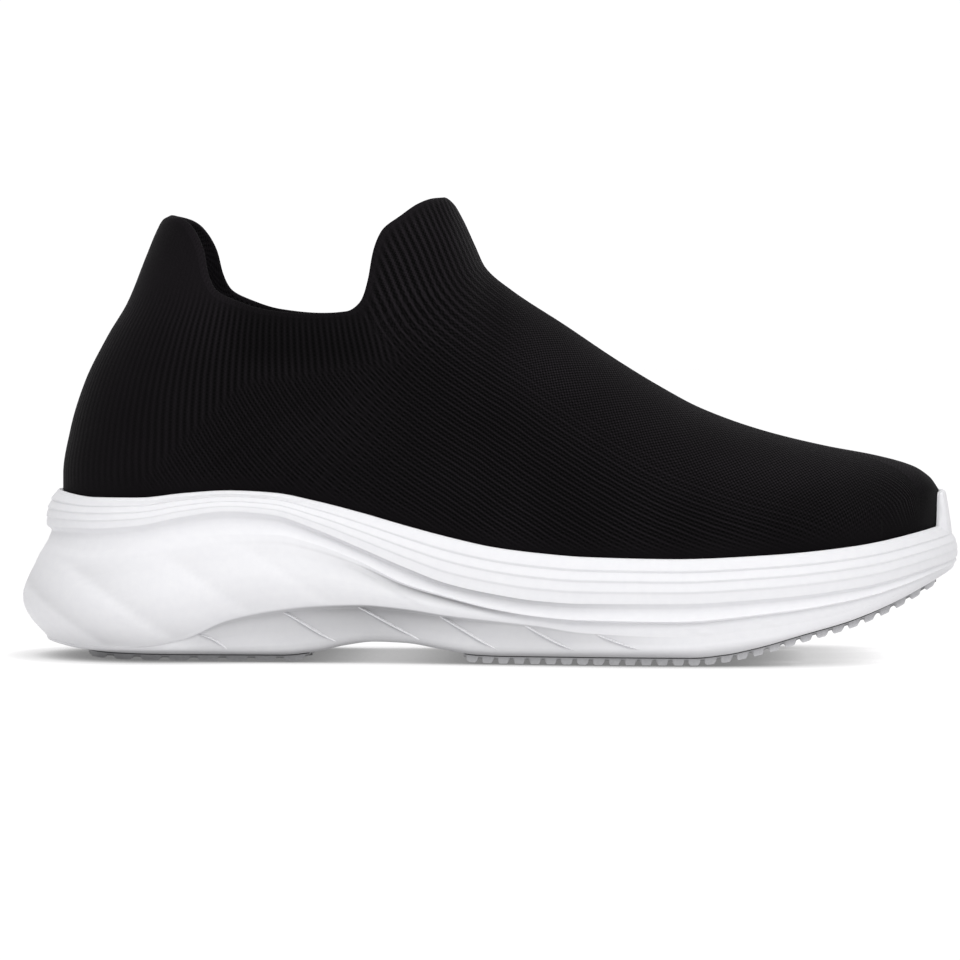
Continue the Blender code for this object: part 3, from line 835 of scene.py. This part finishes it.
def over_crest(off):
    """Length over the rounded crest for a distance from it in side view."""
    fine = np.linspace(0, 1, CREST_SAMPLES) ** 2 * CREST_FALL
    side = CREST_HALF * (1 - (1 - fine / CREST_FALL) ** CREST_POWER) ** (1 / CREST_POWER)
    length = added(np.hypot(np.diff(fine), np.diff(side)))
    return np.interp(off, fine, length) + np.maximum(off - CREST_FALL, 0)


def knit_fields(points, side):
    """The knit's own coordinates at points of the upper's face."""
    x, z = points[:, 0], points[:, 2]
    line = front_line()
    run = added(np.linalg.norm(np.diff(line, axis=0), axis=1))
    lead = np.gradient(line, axis=0)
    lead /= np.linalg.norm(lead, axis=1, keepdims=True)
    near = np.zeros(len(x), int)
    for k in range(0, len(x), NEAR_CHUNK):
        some = slice(k, k + NEAR_CHUNK)
        far = (x[some, None] - line[:, 0]) ** 2 + (z[some, None] - line[:, 1]) ** 2
        near[some] = far.argmin(axis=1)
    gap = np.column_stack([x, z]) - line[near]
    slip = (gap * lead[near]).sum(axis=1)
    off = np.linalg.norm(gap - lead[near] * slip[:, None], axis=1)
    wall = np.maximum(BACK + LAST_LENGTH - x, 0)
    off = -TOE_TURN * np.log(np.exp(-off / TOE_TURN) + np.exp(-wall / TOE_TURN))
    front = over_crest(np.maximum(off, 0))
    heel = x_of(heel_line(z))
    throat = THROAT_X + THROAT_LEAN * (THROAT_Z - z)
    ankle = ANKLE_WALES * path_length(heel, z, x, z, side) / path_length(heel, z, throat, z, side)
    below = smooth((np.interp(x, TURN_X, TURN_Z) - z) / TURN_RUN + 0.5)
    ahead = smooth((x - TURN_X[-1] + AHEAD_LEAN * (z - TURN_Z[-1])) / AHEAD_RUN + 0.5)
    hem = fade(z - level["rim"](along_of(x)), *HEM_IN)
    zone = zones(KNIT_ZONES, x=x, z=z, front=front)
    calm = HEEL_LEAST + (1 - HEEL_LEAST) * zone["heel"]
    bold = BOLD_LEAST + BOLD_MORE * zone["bold"]
    return {
        "front": front,
        "front_run": run[near] + slip,
        "ankle": ankle,
        "ankle_run": z,
        "turn": np.maximum(below, ahead),
        "strong": hem * calm * bold * zone["tip"],
        "dim": 1 - COLLAR_DARK * zone["collar"] - TOE_DARK * zone["toe"],
        **{name: zone[name] for name in ("tongue", "vamp", "tab")},
    }


def knit_material():
    g = Graph("knit_black", 0.86, Specular_IOR_Level=0.06, Sheen_Weight=0.015, Sheen_Roughness=0.4)
    turn, tongue, vamp, tab, strong = (g.read(n) for n in ("turn", "tongue", "vamp", "tab", "strong"))
    edge = g.read("edge")
    front, front_run = g.read("front"), g.read("front_run")
    ankle, ankle_run = g.read("ankle"), g.read("ankle_run")
    wobble = g.line(g.noise(160.0, 1.0), 0.5, -0.25)
    across = g.do("ADD", front, wobble)
    uneven = g.line(g.noise(900.0, 2.0, 0.6), 1.6, 0.2)
    wide = g.wave(across, WALE)
    narrow = g.wave(across, WALE / 2)
    stitch = g.wave(front_run, COURSE)
    body = g.mix(narrow, wide, g.line(tongue, 0.65, 0.25))
    dots = g.times(narrow, stitch)
    body = g.mix(body, g.times(dots, 1.3), g.line(vamp, 0.62, 0.25))
    body = g.times(g.times(body, uneven), 1.9)
    ribs = g.wave(g.do("ADD", ankle, g.times(wobble, 0.4)), 1.0)
    rows = g.wave(ankle_run, COURSE)
    leg = g.times(g.mix(ribs, g.times(ribs, rows), 0.22), 1.4)
    knit = g.mix(leg, body, turn)
    quiet = g.line(tab, -0.9, 1.0)
    band = g.times(g.do("SMOOTH_MIN", g.times(edge, 0.25), 1.0, 0.3), quiet)
    band = g.do("MAXIMUM", band, 0.0)
    knit = g.times(g.times(knit, band), strong)
    fuzz = g.noise(2600.0, 3.0, 0.7)
    relief = g.do("ADD", knit, g.times(fuzz, 0.55))
    normal = g.bump(relief, 0.00022, 0.8)
    patch = g.noise(38.0, 2.0)
    tone = g.do("MAXIMUM", g.line(knit, 0.85, 0.93), 0.06)
    tone = g.times(tone, g.line(patch, 0.5, 0.75))
    tone = g.times(tone, g.line(fuzz, 0.9, 0.55))
    # Painted light: the knit is made lighter on the vamp and tongue, where it faces up.
    lift = g.line(g.do("MAXIMUM", vamp, g.times(tongue, 0.6)), 0.55, 0.76)
    tone = g.times(tone, g.times(lift, g.read("dim")))
    rim_dots = g.times(g.wave(ankle, 0.5), g.wave(edge, 2.2))
    rim = g.times(g.do("LESS_THAN", edge, 1.0), 0.35)
    tone = g.times(tone, g.line(rim_dots, rim, g.do("ADD", 1.0, rim)))
    colour = g.tint(g.ramp(patch, KNIT_COLOURS), tone)
    return g.finish(colour, normal)


def lining_material():
    g = Graph("lining_black", 0.92, Specular_IOR_Level=0.08)
    ribs = g.wave(g.read("ankle"), 1.0)
    rows = g.wave(g.read("edge"), 1.1)
    mesh = g.times(ribs, rows)
    fuzz = g.noise(2200.0, 3.0, 0.7)
    normal = g.bump(g.line(fuzz, 0.6, mesh), 0.00015, 0.8)
    tone = g.line(mesh, 0.15, 0.95)
    colour = g.tint(g.ramp(fuzz, LINING_COLOURS), tone)
    return g.finish(colour, normal)


def way_down(grid):
    """Length down each column of a grid of points, from its first row."""
    steps = np.linalg.norm(np.diff(grid, axis=0), axis=2)
    return np.concatenate([np.zeros((1, grid.shape[1])), np.cumsum(steps, axis=0)])


def make_knit():
    loops = upper_loops(KNIT_STEPS, KNIT_ROWS)
    columns = 2 * KNIT_STEPS
    along, side = perimeter(KNIT_STEPS)
    hem = loop_of(0.0, bed(along) + FIT, KNIT_STEPS)
    for share in HEM_SHARES:
        loops.append(loops[KNIT_ROWS - 1] * (1 - share) + hem * share)
    grid = np.array(loops)
    inner = inward(loops)
    # The rolled collar edge, from the inner face over to the outer.
    lift = grid[0] - grid[1]
    lift /= np.linalg.norm(lift, axis=1, keepdims=True)
    middle = (grid[0] + inner[0]) / 2
    half = (grid[0] - inner[0]) / 2
    rolls = []
    for k in range(ROLL_STEPS):
        turn = math.pi * (1 - k / ROLL_STEPS)
        rolls.append(middle + half * math.cos(turn) + lift * (COLLAR_ROLL * ROLL_FULL * math.sin(turn)))
    rows = np.concatenate([np.array(rolls), grid])
    flat = grid.reshape(-1, 3)
    sides = np.tile(side, len(grid))
    fields = knit_fields(flat, sides)
    fields["edge"] = way_down(grid).reshape(-1)
    top = {key: np.tile(values[:columns], len(rolls)) for key, values in fields.items()}
    top["edge"] = np.repeat(np.linspace(-3.0, -0.3, len(rolls)), columns)
    fields = {key: np.concatenate([top[key], values]) for key, values in fields.items()}
    piece(
        "upper_knit", rows.reshape(-1, 3), ring_faces(len(rows), columns),
        knit_material(), "knit_black", "upper", **fields,
    )
    picks = np.unique(np.round(np.linspace(0, KNIT_ROWS - 1, LINING_ROWS)).astype(int))
    deep = [inner[k] for k in picks]
    deep[-1][:, :2] = loop_of(-KNIT_WALL, 0.0, KNIT_STEPS)[:, :2]
    deep.append(loop_of(-KNIT_WALL, bed(along) + FIT, KNIT_STEPS))
    inside = np.array(deep)
    ankle = fields["ankle"].reshape(len(rows), columns)[len(rolls) + np.append(picks, picks[-1])]
    piece(
        "upper_lining", inside.reshape(-1, 3), ring_faces(len(inside), columns)[:, ::-1],
        lining_material(), "knit_black", "upper",
        ankle=ankle.reshape(-1), edge=way_down(inside).reshape(-1),
    )


# Foam midsole.
# Steps between two rows of its profile, how far each span bulges, and the rows it curves through.
SPANS = (3, 3, 4, 6, 3, 6, 3, 6, 3, 6, 5, 5, 5, 4, 4, 4, 4, 4, 4, 4, 4, 4, 5, 5, 5)
PUFFS = {1: 0.1, 2: 0.25, 3: 0.08, 5: 0.08, 7: 0.08, 9: 0.08, 24: 0.2}
SOFT_ROWS = (11, 12, 15, 16, 17, 18, 19, 20, 23, 24)


def refined(rows):
    """Rows put between the given ones: straight up to a corner, curved where the profile is soft."""
    rows = np.array([np.stack(np.broadcast_arrays(*row), axis=-1) for row in rows])
    made, kinds = [], []
    for k, count in enumerate(SPANS):
        a, b = rows[k], rows[k + 1]
        start = (rows[k + 1] - rows[k - 1]) / 2 if k in SOFT_ROWS else b - a
        end = (rows[k + 2] - rows[k]) / 2 if k + 1 in SOFT_ROWS else b - a
        for j in range(count):
            t = (1 - math.cos(math.pi * j / count)) / 2
            h = t * t * (3 - 2 * t)
            row = a + (b - a) * h + start * (t * (1 - t) ** 2) - end * (t * t * (1 - t))
            made.append(row + np.array([PUFFS.get(k, 0) * math.sin(math.pi * t), 0.0]))
            kinds.append(k + t)
    made.append(rows[-1])
    kinds.append(float(len(SPANS)))
    return made, np.array(kinds)


def foam_material():
    g = Graph("foam_white", 0.52, Specular_IOR_Level=0.35)
    skin = g.noise(1500.0, 4.0, 0.65)
    cells = g.noise(420.0, 2.0)
    soft = g.noise(28.0, 2.0)
    normal = g.bump(skin, 0.00004, 0.5)
    normal = g.bump(cells, 0.00012, 0.12, normal)
    tone = g.line(soft, 0.03, 0.985)
    # The colour is darkened by the painted shade carried in the shade field.
    tone = g.times(tone, g.read("shade"))
    colour = g.tint(g.ramp(cells, FOAM_COLOURS, 0.25, 0.75), tone)
    rough = g.line(skin, 0.16, 0.44)
    return g.finish(colour, normal, rough)


def midsole_profile():
    rows = midsole_rows(MIDSOLE_STEPS)
    base = base_loop(MIDSOLE_STEPS)
    along, side = perimeter(MIDSOLE_STEPS)
    rows.append((reach["base"](along), base[:, 2]))
    for k in STEP_ROWS:
        (upper, high), (lower, down) = rows[k], rows[k + 1]
        middle, half = (upper + lower) / 2, STEP_SOFT * (upper - lower) / 2
        rows[k], rows[k + 1] = (middle + half, high), (middle - half, down)
    return refined(rows)


def foam_relief(x, z, kind):
    """How far the foam's side stands out for facets and edges, and the shade painted into its colour."""
    ground = np.minimum(under(along_of(x)) - GROUND_DROP, GROUND_TOP)
    zone = zones(FOAM_ZONES, x=x, z=z, kind=kind, over=z - ground)
    relief = np.zeros(x.shape)
    painted_facet_shade = np.zeros(x.shape)
    slant = x + FACET_LEAN * z
    # Besides the relief, a band of painted shade is summed beside each facet's edge.
    for start, end, deep, dark in zip(FACETS, FACETS[1:] + (FACET_LAST,), FACET_DEEP, FACET_SHADE):
        share = (slant - start) / (end - start)
        rise = np.clip(share, 0, 1) ** FACET_POWER * smooth((1 - share) / FACET_DROP)
        relief += deep * np.where((share > 0) & (share < 1), rise, 0.0)
        painted_facet_shade += dark * fade(share, *FACET_DARK_IN) * np.clip(1 - share, 0, 1) ** FACET_DARK_POWER
    calm = zone["body"] * zone["heel"]
    relief = (relief - BACK_SINK * fade(slant, FACETS[0] + BACK_FROM, BACK_RUN)) * calm
    for x0, z0, x1, z1, proud in CRESTS:
        long = math.hypot(x1 - x0, z1 - z0)
        ux, uz = (x1 - x0) / long, (z1 - z0) / long
        run = (x - x0) * ux + (z - z0) * uz
        off = (x - x0) * uz - (z - z0) * ux
        crest = hump(off, 0, EDGE_HALF) * smooth(run / EDGE_ENDS) * smooth((long - run) / EDGE_ENDS)
        relief += proud * crest * zone["edge"]
    # Painted shade: beside the facet edges, low on the body, in the recess, under the steps, bands and
    # lip, and near the ground.
    shade = 1 - painted_facet_shade * calm
    shade *= 1 - LOW_DARK * zone["low"] * zone["body"]
    top = 1 + np.clip((RECESS_TOP - kind) / RECESS_ROWS, 0, 1)
    shade *= 1 - zone["recess"] * RECESS_DARK * top * swelling(x, *DEEPEST)
    for k in STEP_ROWS:
        shade *= 1 - STEP_DARK * hump(kind - k, *STEP_MIDDLE)
    bands = zone["bands"] * np.exp(-np.maximum(kind - BANDS_FROM, 0) / BANDS_RUN)
    shade *= 1 - bands * swelling(x, *BANDS_DARK)
    lip = zone["lip"] * hump(np.maximum(kind - LIP_FROM, 0), 0, LIP_RUN)
    shade *= 1 - lip * swelling(x, *LIP_DARK)
    shade *= 1 - (GROUND_DARK[0] + GROUND_DARK[1] * zone["fore"]) * zone["ground"]
    return relief, shade


def make_foam():
    columns = 2 * MIDSOLE_STEPS
    along, side = perimeter(MIDSOLE_STEPS)
    points = plan_point(along, side)
    out = outward(points)
    rows, kinds = midsole_profile()
    loops = np.array([
        np.column_stack([points + out * row[:, :1], row[:, 1]]) for row in rows
    ])
    # The underside's own edge keeps to the curve of the underside where it lies.
    loops[-1][:, 2] = under(along_of(loops[-1][:, 0]))
    x, y, z = loops[..., 0], loops[..., 1], loops[..., 2]
    kind = np.broadcast_to(kinds[:, None], x.shape)
    relief, shade = foam_relief(x, z, kind)
    loops[..., :2] += out[None] * relief[..., None]
    first = loops.reshape(-1, 3)
    faces = [tuple(f) for f in ring_faces(len(loops), columns)]
    skin = Skin()
    skin.points = [tuple(p) for p in first]
    top = list(range(columns))
    low = list(range((len(loops) - 1) * columns, len(loops) * columns))
    skin.infill(top, lambda along, _: bed(along), 1)
    skin.infill(low, lambda along, _: under(along), -1)
    for side in (-1, 1):
        for start, run in zip(RIB_STARTS, RIB_RUNS):
            rings = [skin.add(p) for p in rib_sections(start, run, side)]
            for here, there in zip(rings, rings[1:]):
                for i in range(len(here) - 1):
                    face = (here[i], here[i + 1], there[i + 1], there[i])
                    skin.faces.append(face if side > 0 else face[::-1])
    extra = len(skin.points) - len(first)
    piece(
        "midsole_foam", skin.points, faces + skin.faces, foam_material(), "foam_white", "midsole",
        shade=np.concatenate([shade.reshape(-1), np.full(extra, RIB_SHADE)]),
    )


def rib_sections(start, run, side):
    """Rounded cross-sections of one slanting rib of the recess, from its top to its foot."""
    sections = []
    for k in range(RIB_FINE + 1):
        share = k / RIB_FINE
        along = start + run * share
        top, foot = level["recess"](along), level["edge"](along)
        deep = reach["skirt"](along) - reach["recess"](along)
        face = deep + (reach["edge"](along) - deep) * (RIB_FACE * share + RIB_FACE * share**3)
        height = top - (top - foot) * (RIB_TOP + RIB_SPAN * share)
        ends = (RIB_SLOPE * share + RIB_ENDS[0], RIB_SLOPE * (1 - share) + RIB_ENDS[1])
        proud = RIB_PROUD * min(1.0, *ends)
        section = []
        for turn in np.linspace(-math.pi / 2, math.pi / 2, RIB_ROUND):
            place = along + RIB_WIDE * RIB_HALF * math.sin(turn) / LAST_LENGTH
            here = plan_point(np.array(place), side)
            ahead = plan_point(np.array(along + RIB_STEP), side)
            ahead = ahead - plan_point(np.array(along - RIB_STEP), side)
            out = np.array([ahead[1], -ahead[0]]) * -side
            out /= np.linalg.norm(out)
            reached = face - RIB_SUNK + (RIB_SUNK + proud) * math.cos(turn)
            section.append((*(here + out * reached), height))
        sections.append(section)
    return sections


# Rubber tread: its teeth and the cuts in its pad, as shares of a pitch or of the width.
TOOTH_EDGE = 0.80
TOOTH_SLOPE = 0.30
SIPE_HALF = 0.12
SIPE_IN = (0.26, 0.02)
SIPE_DEEP = 0.4
GAP_SOFT = 0.01
# Painted shade on the tread's side walls, less of it forward and at the toe, and on the plate's top edge.
SIDE_DARK = 0.62
SIDE_LESS = 0.27
SIDE_LESS_X = (-40, 50)
SIDE_TOE = 0.25
SIDE_TOE_X = (55, 50)
PLATE_DARK = 0.5
SHARP_ANGLE = 32


def rubber_material(name):
    g = Graph(name, 0.45, Specular_IOR_Level=0.5)
    deep = g.read("deep")
    grain = g.noise(1300.0, 3.0, 0.6)
    patch = g.noise(90.0, 2.0)
    normal = g.bump(grain, 0.00006, 0.5)
    # The deep field is painted shade: the colour darkens with it.
    tone = g.times(g.line(patch, 0.2, 0.9), g.line(deep, -0.80, 1.0))
    colour = g.tint(g.ramp(grain, RUBBER_COLOURS), tone)
    rough = g.line(grain, 0.2, 0.38)
    return g.finish(colour, normal, rough)


def make_tread(name, slot, stands_for, span, pitch, thick, depth):
    """A plate whose underside is a sheet of heights: teeth along its edges, a channel and a pad."""
    loop = base_loop(MIDSOLE_STEPS)
    steps = MIDSOLE_STEPS
    outer = loop[: steps + 1]
    inner = np.concatenate([loop[steps:], loop[:1]])[::-1]
    first, last = (x_of(share) for share in span)
    lugs = round((last - first) / pitch)
    real = (last - first) / lugs
    count = int((last - first) / TREAD_STEP)
    x = np.linspace(first, last, count + 1)
    left = np.interp(x, outer[:, 0], outer[:, 1]) + TREAD_INSET
    right = np.interp(x, inner[:, 0], inner[:, 1]) - TREAD_INSET
    share = (1 - np.cos(math.pi * np.arange(TREAD_ACROSS + 1) / TREAD_ACROSS)) / 2
    X = np.broadcast_to(x[:, None], (count + 1, TREAD_ACROSS + 1))
    Y = left[:, None] + (right - left)[:, None] * share
    edge = np.minimum(share, 1 - share)[None]
    tooth = np.abs(((X - first) / real) % 1 - 0.5) * 2
    face = smooth((TOOTH_EDGE - tooth) / TOOTH_SLOPE)
    wall = smooth((LUG_REACH + MOAT_SLOPE - edge) / MOAT_SLOPE)
    pad = smooth((edge - LUG_REACH - MOAT - MOAT_SLOPE) / MOAT_SLOPE)
    sipe = np.clip(1 - np.abs(tooth - 1) / SIPE_HALF, 0, 1) * fade(edge, *SIPE_IN) * SIPE_DEEP
    proud = np.maximum(face * wall, pad * (1 - sipe))
    sole = under(along_of(X)) - FIT - thick
    Z = sole + depth * (1 - proud)
    low = np.stack([X, Y, Z], axis=-1).reshape(-1, 3)
    top = under(along_of(x)) - FIT
    wide = TREAD_ACROSS + 1
    both = np.stack([left, right], 1).reshape(-1)
    upper = np.stack([np.repeat(x, 2), both, np.repeat(top, 2)], axis=-1)
    r, c = np.meshgrid(np.arange(count), np.arange(TREAD_ACROSS), indexing="ij")
    a = (r * wide + c).reshape(-1)
    faces = [tuple(f) for f in np.stack([a, a + 1, a + wide + 1, a + wide], axis=-1)]
    n = len(low)
    for k in range(count):
        p, q = n + 2 * k, n + 2 * k + 2
        faces.append((p, q, q + 1, p + 1))
        faces.append((k * wide, (k + 1) * wide, q, p))
        faces.append(((k + 1) * wide - 1, p + 1, q + 1, (k + 2) * wide - 1))
    faces.append((n, n + 1, *range(wide - 1, -1, -1)))
    faces.append((n + 2 * count + 1, n + 2 * count, *range(count * wide, (count + 1) * wide)))
    moat_end = LUG_REACH + MOAT + 3 * MOAT_SLOPE
    moat = smooth((edge - LUG_REACH) / GAP_SOFT) * smooth((moat_end - edge) / GAP_SOFT)
    # Painted shade in the gaps between teeth and in the moat, and on the side walls, carried in deep.
    gap_shade = np.maximum(1 - proud, moat)
    shaded = SIDE_DARK - SIDE_LESS * fade(x, *SIDE_LESS_X) - SIDE_TOE * fade(x, *SIDE_TOE_X)
    deep = np.maximum(gap_shade, np.where(edge < LUG_REACH / 3, shaded[:, None], 0.0))
    deep = np.concatenate([deep.reshape(-1), np.repeat(np.maximum(shaded, PLATE_DARK), 2)])
    made = piece(name, np.vstack([low, upper]), faces, rubber_material(slot), slot, stands_for, deep=deep)
    made.data.set_sharp_from_angle(angle=math.radians(SHARP_ANGLE))


# Footbed.
def footbed_material():
    g = Graph("footbed_black", 0.90, Specular_IOR_Level=0.12, Sheen_Weight=0.06, Sheen_Roughness=0.5)
    rows, across = g.read("rows"), g.read("across")
    weave = g.times(g.wave(rows, 1.3), g.wave(across, 1.3))
    fuzz = g.noise(2400.0, 3.0, 0.7)
    normal = g.bump(g.line(fuzz, 0.7, weave), 0.00018, 0.7)
    tone = g.line(weave, 0.2, 0.9)
    colour = g.tint(g.ramp(fuzz, FOOTBED_COLOURS), tone)
    return g.finish(colour, normal)


def make_footbed():
    steps = FOOTBED_STEPS
    along, _ = perimeter(steps)
    inset = -(KNIT_WALL + FIT)
    low = bed(along) + FIT
    high = low + INSOLE_THICKNESS + INSOLE_CUPPING
    skin = Skin()
    rings = [skin.add(loop_of(inset, low, steps)), skin.add(loop_of(inset, high - FOOTBED_ROUND, steps))]
    for k in range(1, FOOTBED_TURNS + 1):
        turn = math.pi / 2 * k / FOOTBED_TURNS
        moved = inset - FOOTBED_ROUND * (1 - math.cos(turn))
        raised = high - FOOTBED_ROUND * (1 - math.sin(turn))
        rings.append(skin.add(loop_of(moved, raised, steps)))
    for below, above in zip(rings, rings[1:]):
        skin.band(above, below)

    def cupped(along, share):
        floor = bed(along) + FIT + INSOLE_THICKNESS + INSOLE_CUPPING
        return floor - INSOLE_CUPPING * (1 - (2 * share - 1) ** 2) ** FOOTBED_POWER

    skin.infill(rings[-1], cupped, 1, FOOTBED_ACROSS)
    points = np.array(skin.points)
    made = piece(
        "footbed_pad", points, skin.faces, footbed_material(), "footbed_black", "insole",
        rows=points[:, 0], across=points[:, 1],
    )


# Camera, floor and lights.
VIEW_FROM = (math.radians(2.4), math.radians(2.0))
VIEW_DISTANCE = 1600.0
VIEW_SCALE = 0.299
VIEW_CENTRE = (-2.8, 0.0, 52.1)
SENSOR = 36.0
PICTURE = 960
CLIP = (0.05, 60.0)
FLOOR_LEVEL = -0.0003
FLOOR_HALF = 25.0
WALL_HALF = 9.0
WALL_TOP = 5.0
WALL_BACK = 6.0
WORLD_STRENGTH = 0.40
# Reach in metres, gain and least value of the floor's two soft shadows.
WIDE_SHADOW = (0.014, 0.58, 0.42)
NEAR_SHADOW = (0.007, 0.55, 0.45)


def aim(made, place, target):
    made.location = [v * MM for v in place]
    turn = (np.array(target) - np.array(place)).tolist()
    made.rotation_euler = Vector(turn).to_track_quat("-Z", "Y").to_euler()


def add_light(name, place, target, size, power):
    data = bpy.data.lights.new(name, "AREA")
    data.shape = "RECTANGLE"
    data.size, data.size_y = size
    data.energy = power
    made = bpy.data.objects.new(name, data)
    bpy.context.scene.collection.objects.link(made)
    aim(made, place, target)


def glowing(name):
    """A pale material that gives off white light."""
    g = Graph(name, 1.0, Specular_IOR_Level=0.0)
    g.shader.inputs["Base Color"].default_value = STAGE_BASE
    g.shader.inputs["Emission Color"].default_value = STAGE_GLOW
    return g


def sheet(name, corners, faces, material):
    """A flat piece of the stage, in metres."""
    mesh = bpy.data.meshes.new(name)
    mesh.from_pydata(corners, [], faces)
    mesh.materials.append(material)
    made = bpy.data.objects.new(name, mesh)
    bpy.context.scene.collection.objects.link(made)
    return made


def make_stage():
    turn, rise = VIEW_FROM
    place = (
        VIEW_CENTRE[0] + VIEW_DISTANCE * math.sin(turn) * math.cos(rise),
        -VIEW_DISTANCE * math.cos(turn) * math.cos(rise),
        VIEW_CENTRE[2] + VIEW_DISTANCE * math.sin(rise),
    )
    data = bpy.data.cameras.new("camera")
    data.sensor_width = SENSOR
    data.lens = SENSOR * VIEW_DISTANCE / (PICTURE * VIEW_SCALE)
    data.clip_start, data.clip_end = CLIP
    camera = bpy.data.objects.new("camera", data)
    bpy.context.scene.collection.objects.link(camera)
    aim(camera, place, VIEW_CENTRE)
    bpy.context.scene.camera = camera

    g = glowing("floor_white")
    glow = g.times(g.open_sky(*WIDE_SHADOW), g.open_sky(*NEAR_SHADOW))
    g.links.new(glow, g.shader.inputs["Emission Strength"])
    around = ((-1, -1), (1, -1), (1, 1), (-1, 1))
    corners = [(FLOOR_HALF * a, FLOOR_HALF * b, FLOOR_LEVEL) for a, b in around]
    floor = sheet("floor", corners, [(0, 1, 2, 3)], g.material)

    w = glowing("backdrop_white")
    w.shader.inputs["Emission Strength"].default_value = 1.0
    corners = [(WALL_HALF * a, WALL_BACK, WALL_TOP if b > 0 else FLOOR_LEVEL) for a, b in around]
    wall = sheet("backdrop", corners, [(3, 2, 1, 0)], w.material)

    world = bpy.data.worlds.new("studio")
    world.use_nodes = True
    sky = world.node_tree.nodes["Background"]
    sky.inputs["Color"].default_value = STAGE_GLOW
    sky.inputs["Strength"].default_value = WORLD_STRENGTH
    bpy.context.scene.world = world
    bpy.context.scene.view_settings.view_transform = "Standard"
    add_light("top_light", (60.0, -350.0, 1300.0), (0.0, 0.0, 40.0), (1.4, 0.8), 6.3)
    add_light("front_light", (120.0, -1150.0, 1000.0), (0.0, 0.0, 50.0), (1.0, 0.8), 8.9)


make_stage()
make_knit()
make_foam()
make_tread(
    "tread_heel", "rubber_heel", "outsole_heel", HEEL_PLATE, HEEL_PITCH, HEEL_TREAD, HEEL_LUG_DEPTH
)
make_tread(
    "tread_forefoot", "rubber_forefoot", "outsole_forefoot", FORE_PLATE, FORE_PITCH, FORE_TREAD, LUG_DEPTH
)
make_footbed()
